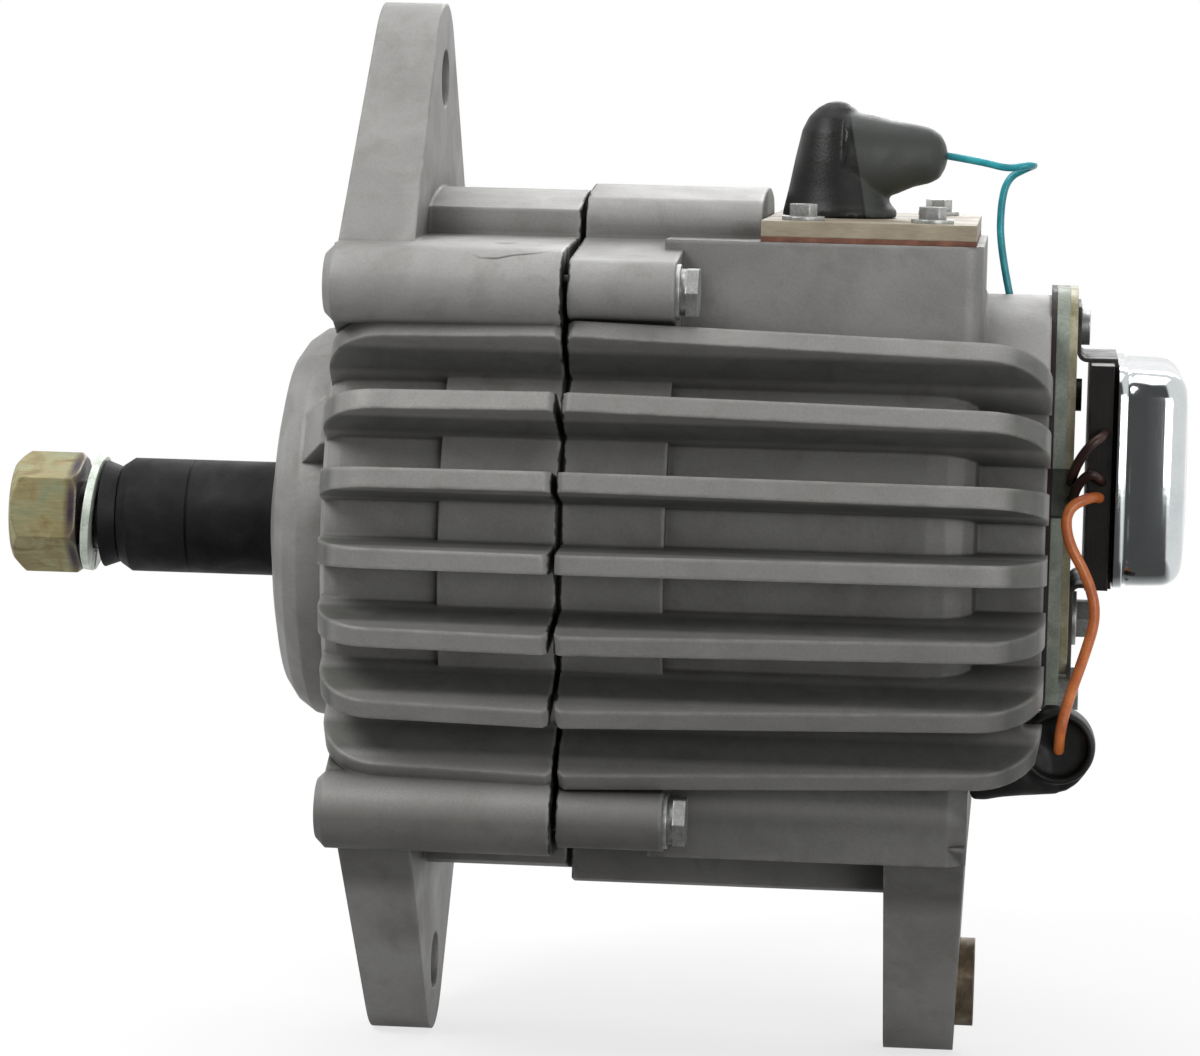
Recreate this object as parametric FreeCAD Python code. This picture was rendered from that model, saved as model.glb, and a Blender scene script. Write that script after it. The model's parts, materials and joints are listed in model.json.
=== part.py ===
import FreeCAD, Part
import math
import os

V = FreeCAD.Vector

# Sealed brush alternator with ribbed cast housings, sizes in millimetres.
# The origin is on the shaft axis in the drive end face. +X runs along the shaft to the
# regulator, +Z to the adjusting ear and -Y to the side with the leads.

# Running fits and seats
running_gap = 0.05
press_gap = 0.01
seat_gap = 0.3
bolt_gap = 0.3
end_room = 1.0

# How far a cutting tool passes the piece it cuts
over = 1.0

# Lengths along the shaft
joint_x = 70.5
barrel_front_x = 18.0
rear_housing_long = 103.7
rear_face_x = joint_x + rear_housing_long
drum_long = 14.4
barrel_rear_x = rear_face_x - drum_long
joint_seal_thick = 0.8
seal_inset = 1.2
fin_gap = 0.6

# Stator, which the housings are cast round
stator_long = 40.0
stator_od = 115.0
stator_step = 3.0
slot_count = 36
slot_wide = 3.6
slot_deep = 11.0
back_iron = 6.5

# Barrel of the housings
barrel_wall = 4.1
barrel_r = stator_od / 2 + barrel_wall
barrel_corner = 4.0
band_rise = 2.0
band_front_reach = 26.1
band_rear_reach = 22.6
wall = 4.5
drum_step = 5.6
rear_drum_r = barrel_r - drum_step
rear_wall = 4.6
rear_round_long = 11.0
rear_round_steps = 4

# Cooling ribs, seven on each side
rib_count = 7
rib_pitch_deg = 12.82
rib_high = 17.2
rib_front_fall = 1.9
rib_rear_fall = 4.9
rib_crest_joint_r = barrel_r + rib_high
rib_crest_front_r = rib_crest_joint_r - rib_front_fall
rib_crest_rear_r = rib_crest_joint_r - rib_rear_fall
rib_crest_thick = 4.2
rib_root_thick = 6.4
rib_front_corner = 13.0
rib_rear_corner = 15.0
rib_front_inset = 0.7
rib_front_x = barrel_front_x + rib_front_inset
rib_past_drum = 0.6
rib_end_x = rear_face_x + rib_past_drum
rib_end_bevel = 1.4

# Top and bottom pads with their shoulders
pad_half_y = 24.0
pad_front_high = 15.4
pad_rear_high = 16.9
pad_low_high = 18.4
pad_front_r = barrel_r + pad_front_high
pad_rear_r = barrel_r + pad_rear_high
pad_low_r = barrel_r + pad_low_high
pad_front_x = 24.0
pad_top_end_x = 110.0
shoulder_high = 5.7
shoulder_z = barrel_r + shoulder_high
pad_rear_round = 6.0
pad_sunk = 21.6
pad_low_z = barrel_r - pad_sunk
pad_foot_step = 2.0
shoulder_foot_y_share = 0.714
shoulder_foot_z_share = 0.682
shoulder_foot_y = shoulder_foot_y_share * barrel_r
shoulder_foot_z = shoulder_foot_z_share * barrel_r
shoulder_front_x = 20.0

# Through bolts at the four corners, just outside the rib crests
bolt_past_ribs = 1.95
bolt_circle_r = rib_crest_joint_r + bolt_past_ribs
bolt_place_deg = 45.1
bolt_y = bolt_circle_r * math.cos(math.radians(bolt_place_deg))
bolt_z = bolt_circle_r * math.sin(math.radians(bolt_place_deg))
bolt_d = 6.0
bolt_head_flats = 10.0
bolt_head_high = 2.7
flat_washer_thick = 1.0
split_washer_thick = 1.2
flat_washer_d = 12.0
split_washer_d = 10.0
front_boss_r = 8.6
rear_boss_r = 6.6
front_boss_x = 18.4
front_boss_bevel = 2.0
rear_boss_long = 23.5
rear_boss_end_x = joint_x + rear_boss_long
bolt_thread_depth = 34.0
bolt_end_gap = 2.0
bolt_face_deep = 14.0

# Adjusting ear on top
ear_front_base_x = 19.0
ear_front_lean = 3.3
ear_rear_x = 36.0
ear_bore_high = 39.8
ear_bore_z = barrel_r + ear_bore_high
ear_tip_r = 16.8
ear_base_half_y = 50.0
lug_base_high = 0.4
ear_base_z = barrel_r + lug_base_high
ear_bore_d = 13.0

# Mounting feet below
foot_bore_deep = 39.4
foot_bore_z = barrel_r + foot_bore_deep
foot_tip_r = 15.7
foot_bore_d = 13.0
foot_base_half_y = 50.0
foot_base_z = barrel_r + lug_base_high
front_foot_x = 20.8
front_foot_lean = 3.0
feet_spacing = 104.0
front_foot_rear_x = 37.4
rear_foot_thick = 17.7
rear_foot_lean = 2.0
hinge_bush_d = 20.0
hinge_bush_out = 4.4
hinge_bush_in = 0.6

# Drive end dome, bearing seat and seal
dome_curve = ((0.0, 14.5), (1.6, 23.0), (3.2, 32.0), (4.6, 38.0), (7.0, 41.5), (10.5, 44.0))
dome_r = 45.5
gusset_places_deg = (-60.0, 60.0)
gusset_thick = 12.0
gusset_out_r = 54.0
gusset_front_x = 5.5
gusset_in_r = 33.0
gusset_rise = 11.0
gusset_low_r = 40.0
gusset_foot = 4.0
front_bearing_x = 6.5
cavity_wall = 5.0

# Front bearing, sealed deep groove
bearing_bore = 17.0
front_bearing_od = 47.0
front_bearing_wide = 14.0
inner_ring_od = 26.4

# Rear bearing, drawn cup with needle rollers
roller_d = 3.0
cup_thick = 1.5
cup_wide = 16.0
rear_bearing_deep = 43.2
rear_bearing_x = rear_face_x - rear_bearing_deep
rear_hub_r = 19.0
web_before_cup = 3.0
rear_web_x = rear_bearing_x - web_before_cup
rear_web_thick = 6.0

# Shaft and what the pulley would clamp
thread_d = 16.0
shaft_body_d = 22.0
sleeve_od = 26.0
inner_sleeve_out = 20.0
outer_sleeve_long = 16.3
washer_room = 9.2
nut_flats = 24.0
nut_long = 15.5
nut_turn_deg = 20.0
shaft_recess = 1.5
shaft_past_rings = 0.6
sleeve_bevel = 1.6
nut_front_bevel = 2.4
nut_rear_bevel = 1.2
spring_washer_thick = 1.8
spring_washer_od = 26.4
spring_washer_lean_deg = 5.5
spring_washer_play = 0.8
spring_washer_slot = 2.0
spring_washer_off = 2.6
lock_washer_long = 3.8
lock_washer_in_r = 8.6
lock_washer_wide_r = 12.2
lock_washer_narrow_r = 10.8

# Rotor
air_gap = 0.6
stator_bore_r = stator_od / 2 - back_iron - slot_deep
pole_count = 6
pole_long = 46.0
pole_disc_thick = 11.0
pole_core_share = 0.406
claw_root_deg = 30.0
claw_tip_deg = 14.0
claw_root_share = 0.241
claw_tip_thick = 3.6
claw_clearance = 2.0
claw_coil_room = 1.4
winding_high = 12.0
winding_bore_room = 2.0
winding_wall_room = 1.0

# Slip rings, brushes and holder
ring_hub_r = 12.5
ring_r = 15.5
ring_wide = 6.0
ring_gap = 3.0
ring_hub_gap = 1.2
ring_hub_x = rear_bearing_x + cup_wide + ring_hub_gap
ring_edge = 1.8
brush_wide_x = 4.8
brush_wide_y = 7.0
brush_long = 12.0
spring_od = 4.2
spring_rest = 10.0
spring_wall = 1.0
holder_half_y = 8.0
holder_base_z = 19.0
holder_top_z = 41.0
holder_inset = 0.2
holder_front_x = ring_hub_x + holder_inset

# Terminal box with its plate
box_half_y = 40.0
box_from_joint = 19.5
box_front_x = joint_x + box_from_joint
box_inset = 15.1
box_rear_x = rear_face_x - box_inset
box_high = 6.2
box_top_z = barrel_r + box_high
box_sunk = 23.6
box_low_z = barrel_r - box_sunk
box_corner = 4.0
terminal_gasket_thick = 1.2
terminal_plate_thick = 3.4
terminal_plate_inset = 1.7
terminal_plate_long = 46.7
terminal_plate_x1 = box_rear_x - terminal_plate_inset
terminal_plate_x0 = terminal_plate_x1 - terminal_plate_long
front_screw_in = 8.7
rear_screw_in = 9.8
terminal_screw_x = (terminal_plate_x0 + front_screw_in, terminal_plate_x1 - rear_screw_in)
terminal_screw_y = 31.0
screw_d = 4.0
screw_head_flats = 5.2
screw_head_high = 3.6
screw_flange_d = 9.4
screw_flange_high = 0.9
screw_deep = 9.0
stud_in = 16.6
stud_x = terminal_plate_x0 + stud_in
stud_d = 8.0
stud_up = 20.0
stud_down = 8.0
stud_nut_flats = 13.0
stud_nut_high = 6.0

# Boot over the output stud: its bell as heights and radii, its nozzle as reaches and radii
boot_bell = ((-1.0, 13.2), (12.6, 9.9), (21.6, 7.4), (24.6, 6.2), (26.4, 3.6))
boot_lean_deg = 3.7
boot_nozzle = ((0.0, 9.6), (7.0, 9.1), (19.5, 6.3), (22.4, 5.8), (24.0, 4.2))
boot_nozzle_up = 14.2
boot_seat = 0.2
boot_trim = 2.0
boot_nut_room_r = 8.0

# Bottom block that carries the rear foot
block_half_y = 50.0
block_high = 4.7
block_low_z = barrel_r + block_high
block_front_x = box_front_x
block_inset = 15.0
block_rear_x = rear_face_x - block_inset
block_corner = 4.0
block_in_z = pad_low_z

# Rear cover stack and regulator
cover_half_y = 24.0
cover_top_z = 58.0
cover_low_z = -28.4
spacer_low_z = -36.6
cover_corner = 16.0
rear_gasket_thick = 1.2
spacer_plate_thick = 2.8
cover_plate_thick = 1.8
opening_half_y = 12.0
opening_low_z = 16.0
opening_top_z = 43.0
bracket_thick = 0.9
bracket_half_y = 18.0
bracket_top_z = 54.5
bracket_low_z = -28.6
bracket_bend_r = 1.4
base_half_y = 30.0
base_top_z = 42.3
base_low_z = -7.0
base_off = 8.9
base_x0 = rear_face_x + base_off
base_thick = 5.1
can_half_y = 33.0
can_deep = 16.0
can_corner = 6.0
can_edge = 3.0
regulator_screw_z = (49.4, -16.7)
regulator_screw_d = 5.0
regulator_screw_flats = 8.0
regulator_screw_high = 3.2
regulator_round_d = 8.6
regulator_round_high = 2.0
regulator_washer_d = 12.2
regulator_washer_thick = 1.0
cover_screw_z = -32.5
cover_screw_y = 10.0
cover_screw_d = 4.0
cover_screw_flats = 7.0
cover_screw_high = 4.6
lead_notch_z0 = 8.0
lead_notch_z1 = 19.0
lead_notch_deep = 6.0
grommet_z = 35.0
grommet_edge = 7.0
grommet_r = 3.6
grommet_out = 1.3
grommet_lip = 1.0

# Lower boot and its stud on the block's rear face
low_stud_d = 6.0
low_stud_out = 4.0
low_stud_in = 8.0
low_stud_from_side = 8.5
low_stud_up = 19.3
low_stud_y = low_stud_from_side - block_half_y
low_stud_z = low_stud_up - block_low_z
low_bell_r = 5.4
low_bell_end_r = 5.0
low_bell_shift_y = 1.0
low_bell_drop = 1.0
low_bell_past = 3.0
low_boot_half_span = 15.0
low_elbow_off = 4.1
low_elbow_up = 6.7
low_elbow_x = rear_face_x + low_elbow_off
low_elbow_z = low_stud_z + low_elbow_up
low_elbow_back_y = -35.0
low_elbow_end_y = -46.0
low_boot_gap = 0.4
low_elbow_bevel = 1.4
low_boot_end_r = 7.4
low_boot_hole_r = 5.4
low_boot_hole_deep = 2.5

# Leads
sense_lead_d = 1.7
field_lead_d = 2.2
regulator_lead_d = 2.4
sense_hole_deep = 20.0
lead_up = 0.3
bend_share = 0.45
sense_bends = ((-3.0, 0.0, 0.0), (6.6, 0.0, -1.4), (13.0, 0.0, -3.0), (18.8, 0.0, -2.2),
               (18.6, 3.9, -2.5), (13.2, 3.9, -7.6), (12.6, 4.4, -18.6), (15.0, 5.0, -33.0))
field_high_bends = ((0.0, 0.0, 7.6), (-0.2, -11.0, 8.4))
field_high_ends = ((-2.7, -3.6, 20.6), (-0.1, -5.4, 25.0), (3.1, -4.2, 27.4), (3.7, 0.0, 27.6))
field_low_bends = ((0.0, 0.0, 3.6), (0.3, -11.0, 4.6))
field_low_ends = ((-2.3, -2.4, 16.2), (0.3, -4.4, 19.2), (2.7, -3.2, 18.0), (3.1, 0.0, 17.0))
regulator_bends = ((2.6, 0.0, 13.4), (1.2, -6.0, 14.4), (-4.6, -7.6, 11.6), (-4.2, -7.4, 4.6),
                   (0.6, -7.2, -3.4), (2.9, -7.8, -11.4), (0.4, -11.2, -20.2), (-2.6, -16.0, -28.4),
                   (-4.6, -20.6, -36.0))

# Joint faces of the two housings, and the stack between them
front_joint_x = joint_x - joint_seal_thick / 2
rear_joint_x = joint_x + joint_seal_thick / 2
stack_x0 = joint_x - stator_long / 2
stack_x1 = joint_x + stator_long / 2
seat_r = stator_od / 2 + press_gap
cavity_r = seat_r - stator_step
chamber_r = rear_drum_r - rear_wall
rotor_r = stator_bore_r - air_gap
pole_core_r = pole_core_share * rotor_r
claw_root_thick = claw_root_share * rotor_r
coil_out_r = rotor_r - claw_root_thick - claw_coil_room
winding_inner_r = stator_bore_r + winding_bore_room
winding_outer_r = cavity_r - winding_wall_room
pole_x0 = joint_x - pole_long / 2
pole_x1 = joint_x + pole_long / 2

# Front bearing seat and shaft length
shaft_r = bearing_bore / 2
front_bearing_x1 = front_bearing_x + front_bearing_wide
journal_r = shaft_r - press_gap
nut_x1 = -(inner_sleeve_out + outer_sleeve_long + washer_room)
nut_x0 = nut_x1 - nut_long
cup_out_r = shaft_r + roller_d + cup_thick
ring_hub_x1 = ring_hub_x + 2 * ring_wide + ring_gap + 2 * ring_edge
ring_a_x = ring_hub_x + ring_edge
ring_b_x = ring_a_x + ring_wide + ring_gap

# Feet
rear_foot_x = front_foot_rear_x + feet_spacing
rear_foot_rear_x = rear_foot_x + rear_foot_thick

# Terminal plate stack
terminal_plate_z = box_top_z + terminal_gasket_thick
terminal_top_z = terminal_plate_z + terminal_plate_thick

# Cover stack behind the rear face
spacer_x = rear_face_x + rear_gasket_thick
cover_x = spacer_x + spacer_plate_thick
cover_rear_x = cover_x + cover_plate_thick
bracket_rear_x = cover_rear_x + bracket_thick
can_x = base_x0 + base_thick


def rod(r, x0, x1, y=0.0, z=0.0):
    return Part.makeCylinder(r, x1 - x0, V(x0, y, z), V(1, 0, 0))


def tube(r_out, r_in, x0, x1, y=0.0, z=0.0):
    return rod(r_out, x0, x1, y, z).cut(rod(r_in, x0 - over, x1 + over, y, z))


def box(x0, x1, y0, y1, z0, z1):
    return Part.makeBox(x1 - x0, y1 - y0, z1 - z0, V(x0, y0, z0))


def wire_of(points):
    return Part.makePolygon(points + [points[0]])


def revolve_x(profile):
    """Solid of revolution about the shaft axis from a closed list of (x, r)."""
    face = Part.Face(wire_of([V(x, 0, r) for x, r in profile]))
    return face.revolve(V(0, 0, 0), V(1, 0, 0), 360)


def prism_x(outline, x0, x1):
    """Closed list of (y, z) carried from x0 to x1."""
    face = Part.Face(wire_of([V(x0, y, z) for y, z in outline]))
    return face.extrude(V(x1 - x0, 0, 0))


def prism_y(outline, y0, y1):
    """Closed list of (x, z) carried from y0 to y1."""
    face = Part.Face(wire_of([V(x, y0, z) for x, z in outline]))
    return face.extrude(V(0, y1 - y0, 0))


def hexagon_x(flats, x0, x1, y=0.0, z=0.0, turn_deg=0.0):
    corner_r = flats / 2 / math.cos(math.pi / 6)
    angles = [math.radians(60 * k + turn_deg) for k in range(6)]
    return prism_x([(y + corner_r * math.cos(a), z + corner_r * math.sin(a)) for a in angles], x0, x1)


def hexagon_z(flats, z0, z1, x, y):
    corner_r = flats / 2 / math.cos(math.pi / 6)
    corners = [V(x + corner_r * math.cos(math.radians(60 * k)),
                 y + corner_r * math.sin(math.radians(60 * k)), z0) for k in range(6)]
    return Part.Face(wire_of(corners)).extrude(V(0, 0, z1 - z0))


def turned(shape, angle_deg):
    """Copy of a shape turned about the shaft axis."""
    copy = shape.copy()
    copy.rotate(V(0, 0, 0), V(1, 0, 0), angle_deg)
    return copy


def fuse_all(shapes):
    return shapes[0].multiFuse(shapes[1:]).removeSplitter()


def round_edges(shape, radius, wanted):
    """Fillets the edges whose middle point passes the test."""
    edges = [e for e in shape.Edges if wanted(e)]
    return shape.makeFillet(radius, edges)


def along(edge, axis):
    """True where an edge is straight and runs along the named axis."""
    if edge.Curve.TypeId != "Part::GeomLine":
        return False
    step = edge.lastVertex().Point.sub(edge.firstVertex().Point)
    return abs(abs(getattr(step, axis)) - step.Length) < 1e-6


def save(name, shape):
    """Writes one sub-part, and stops if it isn't sound."""
    if not shape.isValid() or shape.Volume <= 0:
        raise ValueError("unsound sub-part: " + name)
    shape.exportStep("parts/" + name + ".step")


# Cast housings


def front_barrel():
    band_x = joint_x - band_front_reach
    band_r = barrel_r + band_rise
    bevel = barrel_corner / 3
    outer = list(dome_curve) + [
        (barrel_front_x, dome_r),
        (barrel_front_x, barrel_r - barrel_corner),
        (barrel_front_x + bevel, barrel_r - bevel),
        (barrel_front_x + barrel_corner, barrel_r),
        (band_x, barrel_r),
        (band_x, band_r),
        (front_joint_x, band_r),
    ]
    wall_x = barrel_front_x + cavity_wall
    bore = front_bearing_od / 2 + press_gap
    inner = [
        (front_joint_x, seat_r),
        (stack_x0, seat_r),
        (stack_x0, cavity_r),
        (wall_x, cavity_r),
        (wall_x, bore),
        (front_bearing_x, bore),
        (front_bearing_x, sleeve_od / 2 + seat_gap),
        (0, sleeve_od / 2 + seat_gap),
    ]
    return revolve_x(outer + inner)


def rear_round():
    """Rounded rear shoulder of the barrel, down to the drum."""
    points = []
    for k in range(rear_round_steps + 1):
        a = math.pi / 2 * k / rear_round_steps
        points.append((barrel_rear_x - rear_round_long * (1 - math.sin(a)),
                       barrel_r - (barrel_r - rear_drum_r) * (1 - math.cos(a))))
    return points


def rear_barrel():
    """Barrel, web with the bearing hub, and the drum that the regulator end closes."""
    band_x = joint_x + band_rear_reach
    band_r = barrel_r + band_rise
    web_x1 = rear_web_x + rear_web_thick
    hub_x1 = rear_bearing_x + cup_wide
    outer = [
        (rear_joint_x, seat_r),
        (rear_joint_x, band_r),
        (band_x, band_r),
        (band_x, barrel_r),
    ]
    inner = [
        (rear_face_x, rear_drum_r),
        (rear_face_x, 0),
        (rear_face_x - rear_wall, 0),
        (rear_face_x - rear_wall, chamber_r),
        (web_x1, chamber_r),
        (web_x1, rear_hub_r),
        (hub_x1, rear_hub_r),
        (hub_x1, cup_out_r + press_gap),
        (rear_bearing_x, cup_out_r + press_gap),
        (rear_bearing_x, shaft_body_d / 2 + seat_gap),
        (rear_web_x, shaft_body_d / 2 + seat_gap),
        (rear_web_x, cavity_r),
        (stack_x1, cavity_r),
        (stack_x1, seat_r),
    ]
    return revolve_x(outer + rear_round() + inner)


def rib_plate(outline_xr, root_r):
    """One upright rib with drafted flanks from its outline in x and radius."""
    top_r = rib_crest_joint_r
    plate = prism_y(outline_xr, -rib_root_thick, rib_root_thick)
    x0 = min(x for x, r in outline_xr)
    x1 = max(x for x, r in outline_xr)
    half_root = rib_root_thick / 2
    half_crest = rib_crest_thick / 2
    wedge = prism_x([(-half_root, root_r), (half_root, root_r), (half_crest, top_r), (-half_crest, top_r)],
                    x0 - over, x1 + over)
    return plate.common(wedge)


def rib_set(outline_xr, root_r, corner_x, corner_r):
    """Seven ribs on the near side and seven on the far side, with a rounded outer corner."""
    plate = rib_plate(outline_xr, root_r)
    plate = round_edges(plate, corner_r, lambda e: along(e, "y") and e.BoundBox.ZMin > root_r + 1
                        and abs(e.BoundBox.XMin - corner_x) < 0.01)
    ribs = []
    for k in range(rib_count):
        angle = 90 + (k - (rib_count - 1) / 2) * rib_pitch_deg
        ribs.append(turned(plate, angle))
        ribs.append(turned(plate, -angle))
    return ribs


def front_ribs():
    root_r = barrel_r - wall
    end_x = joint_x - fin_gap
    outline = [
        (rib_front_x, root_r),
        (rib_front_x, rib_crest_front_r),
        (end_x - rib_end_bevel, rib_crest_joint_r),
        (end_x, rib_crest_joint_r - rib_end_bevel),
        (end_x, root_r),
    ]
    return rib_set(outline, root_r, rib_front_x, rib_front_corner)


def rear_ribs():
    root_r = rear_drum_r - rear_wall / 2
    start_x = joint_x + fin_gap
    outline = [
        (start_x, root_r),
        (start_x, rib_crest_joint_r - rib_end_bevel),
        (start_x + rib_end_bevel, rib_crest_joint_r),
        (rib_end_x, rib_crest_rear_r),
        (rib_end_x, root_r),
    ]
    ribs = rib_set(outline, root_r, rib_end_x, rib_rear_corner)
    return [rib.cut(rod(rear_drum_r, rear_face_x, rib_end_x + over)) for rib in ribs]


def pad(crest_r, x0, x1, sign):
    """Raised pad along the top (sign 1) or the bottom (sign -1) of the body."""
    block = box(x0, x1, -pad_half_y, pad_half_y, pad_low_z, crest_r + over)
    solid = block.common(rod(crest_r, x0, x1))
    if sign < 0:
        solid = turned(solid, 180)
    return solid


def shoulder(boss_r, x0, x1, sign):
    """Flat shoulder between the pad and the bolt bosses, with a web down to the barrel."""
    outline = [
        (pad_half_y, shoulder_z),
        (bolt_y, bolt_z + boss_r),
        (bolt_y + boss_r * 0.75, bolt_z - boss_r * 0.6),
        (shoulder_foot_y, shoulder_foot_z),
        (-shoulder_foot_y, shoulder_foot_z),
        (-bolt_y - boss_r * 0.75, bolt_z - boss_r * 0.6),
        (-bolt_y, bolt_z + boss_r),
        (-pad_half_y, shoulder_z),
    ]
    solid = prism_x(outline, x0, x1)
    if sign < 0:
        solid = turned(solid, 180)
    return solid


def corners():
    return [(sy * bolt_y, sz * bolt_z) for sy in (-1, 1) for sz in (1, -1)]


def lug(bore_z, tip_r, base_half_y, base_z, x0, x1, sign):
    """Tapered lug with a round tip, upright for sign 1 and hanging for sign -1."""
    rise = bore_z - base_z
    angle = math.acos(tip_r / math.hypot(base_half_y, rise)) - math.atan2(rise, base_half_y)
    py = tip_r * math.cos(angle)
    pz = bore_z + tip_r * math.sin(angle)
    base = [V(x0, -base_half_y, base_z), V(x0, base_half_y, base_z), V(x0, py, pz)]
    arc = Part.Arc(V(x0, py, pz), V(x0, 0, bore_z + tip_r), V(x0, -py, pz)).toShape()
    edges = [Part.makeLine(base[0], base[1]), Part.makeLine(base[1], base[2]), arc,
             Part.makeLine(V(x0, -py, pz), base[0])]
    solid = Part.Face(Part.Wire(edges)).extrude(V(x1 - x0, 0, 0))
    if sign < 0:
        solid = turned(solid, 180)
    return solid


def front_lug(bore_z, tip_r, base_half_y, base_z, front_x, lean, rear_x, sign):
    """Lug whose drive side face leans back toward the tip."""
    solid = lug(bore_z, tip_r, base_half_y, base_z, front_x - over, rear_x, sign)
    tip_z = bore_z + tip_r
    side = prism_y([(front_x, sign * (base_z - over)), (rear_x + over, sign * (base_z - over)),
                    (rear_x + over, sign * (tip_z + over)), (front_x + lean, sign * (tip_z + over))],
                   -base_half_y - over, base_half_y + over)
    return solid.common(side)


def gussets():
    """Webs that tie the bearing dome to the barrel below the ear."""
    plates = []
    for place in gusset_places_deg:
        outline = [(gusset_front_x, gusset_in_r), (gusset_front_x + gusset_rise, gusset_out_r),
                   (barrel_front_x + over, gusset_out_r), (barrel_front_x + over, gusset_low_r),
                   (gusset_front_x + gusset_foot, gusset_in_r)]
        web = prism_y(outline, -gusset_thick / 2, gusset_thick / 2)
        plates.append(turned(web, place))
    return plates


def front_housing():
    end_x = joint_x - fin_gap
    pieces = [front_barrel()] + front_ribs() + gussets()
    for sign in (1, -1):
        pieces.append(pad(pad_front_r, pad_front_x, end_x, sign))
        pieces.append(shoulder(front_boss_r, shoulder_front_x, end_x, sign))
    for y, z in corners():
        nose = Part.makeCone(front_boss_r - front_boss_bevel, front_boss_r, front_boss_bevel,
                             V(front_boss_x, y, z), V(1, 0, 0))
        pieces += [nose, rod(front_boss_r, front_boss_x + front_boss_bevel, end_x, y, z)]
    pieces.append(front_lug(ear_bore_z, ear_tip_r, ear_base_half_y, ear_base_z, ear_front_base_x,
                            ear_front_lean, ear_rear_x, 1))
    pieces.append(front_lug(foot_bore_z, foot_tip_r, foot_base_half_y, foot_base_z, front_foot_x,
                            front_foot_lean, front_foot_rear_x, -1))
    solid = fuse_all(pieces)
    solid = solid.cut(rod(cavity_r, barrel_front_x + cavity_wall, stack_x0))
    solid = solid.cut(rod(seat_r, stack_x0, joint_x))
    for y, z in corners():
        solid = solid.cut(rod(bolt_d / 2 + running_gap, joint_x - bolt_thread_depth, joint_x + over, y, z))
    solid = solid.cut(rod(ear_bore_d / 2, ear_front_base_x - over, ear_rear_x + over, 0, ear_bore_z))
    return solid.cut(rod(foot_bore_d / 2, front_foot_x - over, front_foot_rear_x + over, 0, -foot_bore_z))


def terminal_box():
    solid = box(box_front_x, box_rear_x, -box_half_y, box_half_y, box_low_z, box_top_z)
    return round_edges(solid, box_corner, lambda e: along(e, "z") and e.BoundBox.XMin > box_rear_x - 0.01)


def bottom_block():
    solid = box(block_front_x, block_rear_x, -block_half_y, block_half_y, -block_low_z, -block_in_z)
    return solid.makeChamfer(block_corner, [e for e in solid.Edges
                                            if along(e, "z") and e.BoundBox.XMin > block_rear_x - 0.01])


def rear_foot():
    solid = lug(foot_bore_z, foot_tip_r, foot_base_half_y, foot_base_z, rear_foot_x, rear_foot_rear_x, -1)
    tip_z = foot_bore_z + foot_tip_r
    side = prism_y([(rear_foot_x - over, -foot_base_z + over), (rear_foot_rear_x, -foot_base_z + over),
                    (rear_foot_rear_x - rear_foot_lean, -tip_z - over), (rear_foot_x - over, -tip_z - over)],
                   -foot_base_half_y - over, foot_base_half_y + over)
    return solid.common(side)


def rear_housing():
    start_x = joint_x + fin_gap
    pieces = [rear_barrel()] + rear_ribs() + [terminal_box(), bottom_block(), rear_foot()]
    top_pad = pad(pad_rear_r, start_x, pad_top_end_x, 1)
    top_pad = round_edges(top_pad, pad_rear_round,
                          lambda e: along(e, "x") and e.BoundBox.ZMin > pad_low_z + over)
    pieces.append(top_pad)
    pieces.append(pad(pad_low_r, start_x, rear_foot_rear_x - pad_foot_step, -1))
    for sign in (1, -1):
        pieces.append(shoulder(rear_boss_r, start_x, rear_boss_end_x, sign))
    for y, z in corners():
        pieces.append(rod(rear_boss_r, start_x, rear_boss_end_x, y, z))
    solid = fuse_all(pieces)
    web_x1 = rear_web_x + rear_web_thick
    chamber = tube(chamber_r, rear_hub_r, web_x1, rear_face_x - rear_wall)
    behind_hub = rod(chamber_r, rear_bearing_x + cup_wide, rear_face_x - rear_wall)
    solid = solid.cut(rod(seat_r, joint_x, stack_x1)).cut(rod(cavity_r, stack_x1, rear_web_x))
    solid = solid.cut(chamber.fuse(behind_hub))
    for y, z in corners():
        solid = solid.cut(rod(bolt_d / 2 + bolt_gap, joint_x - over, rear_boss_end_x + over, y, z))
        face_end_x = rear_boss_end_x + bolt_face_deep
        solid = solid.cut(rod(flat_washer_d / 2 + end_room, rear_boss_end_x, face_end_x, y, z))
    solid = solid.cut(rod(hinge_bush_d / 2 + running_gap, rear_foot_x - over, rear_foot_rear_x + over,
                          0, -foot_bore_z))
    stud_low = V(stud_x, 0, box_top_z - stud_down)
    solid = solid.cut(Part.makeCylinder(stud_d / 2 + running_gap, stud_down + over, stud_low))
    solid = solid.cut(box(rear_face_x - rear_wall - over, rear_face_x + over, -opening_half_y, opening_half_y,
                          opening_low_z, opening_top_z))
    for x in terminal_screw_x:
        for y in (-terminal_screw_y, terminal_screw_y):
            solid = solid.cut(Part.makeCylinder(screw_d / 2 + running_gap, screw_deep + over,
                                                V(x, y, box_top_z - screw_deep)))
    for relief in low_boot_reliefs():
        solid = solid.cut(relief)
    low_hole_x = block_rear_x - low_stud_in - end_room
    solid = solid.cut(rod(low_stud_d / 2 + running_gap, low_hole_x, block_rear_x + over,
                          low_stud_y, low_stud_z))
    wall_x0 = rear_face_x - rear_wall - over
    wall_x1 = rear_face_x + over
    for z in regulator_screw_z:
        solid = solid.cut(rod(regulator_screw_d / 2 + running_gap, wall_x0, wall_x1, 0, z))
    for y in (-cover_screw_y, cover_screw_y):
        solid = solid.cut(rod(cover_screw_d / 2 + running_gap, wall_x0, wall_x1, y, cover_screw_z))
    x, y, z = sense_route()[-1]
    lead_low = V(x, y, z - seat_gap)
    return solid.cut(Part.makeCylinder(sense_lead_d / 2 + running_gap, sense_hole_deep, lead_low))


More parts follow.
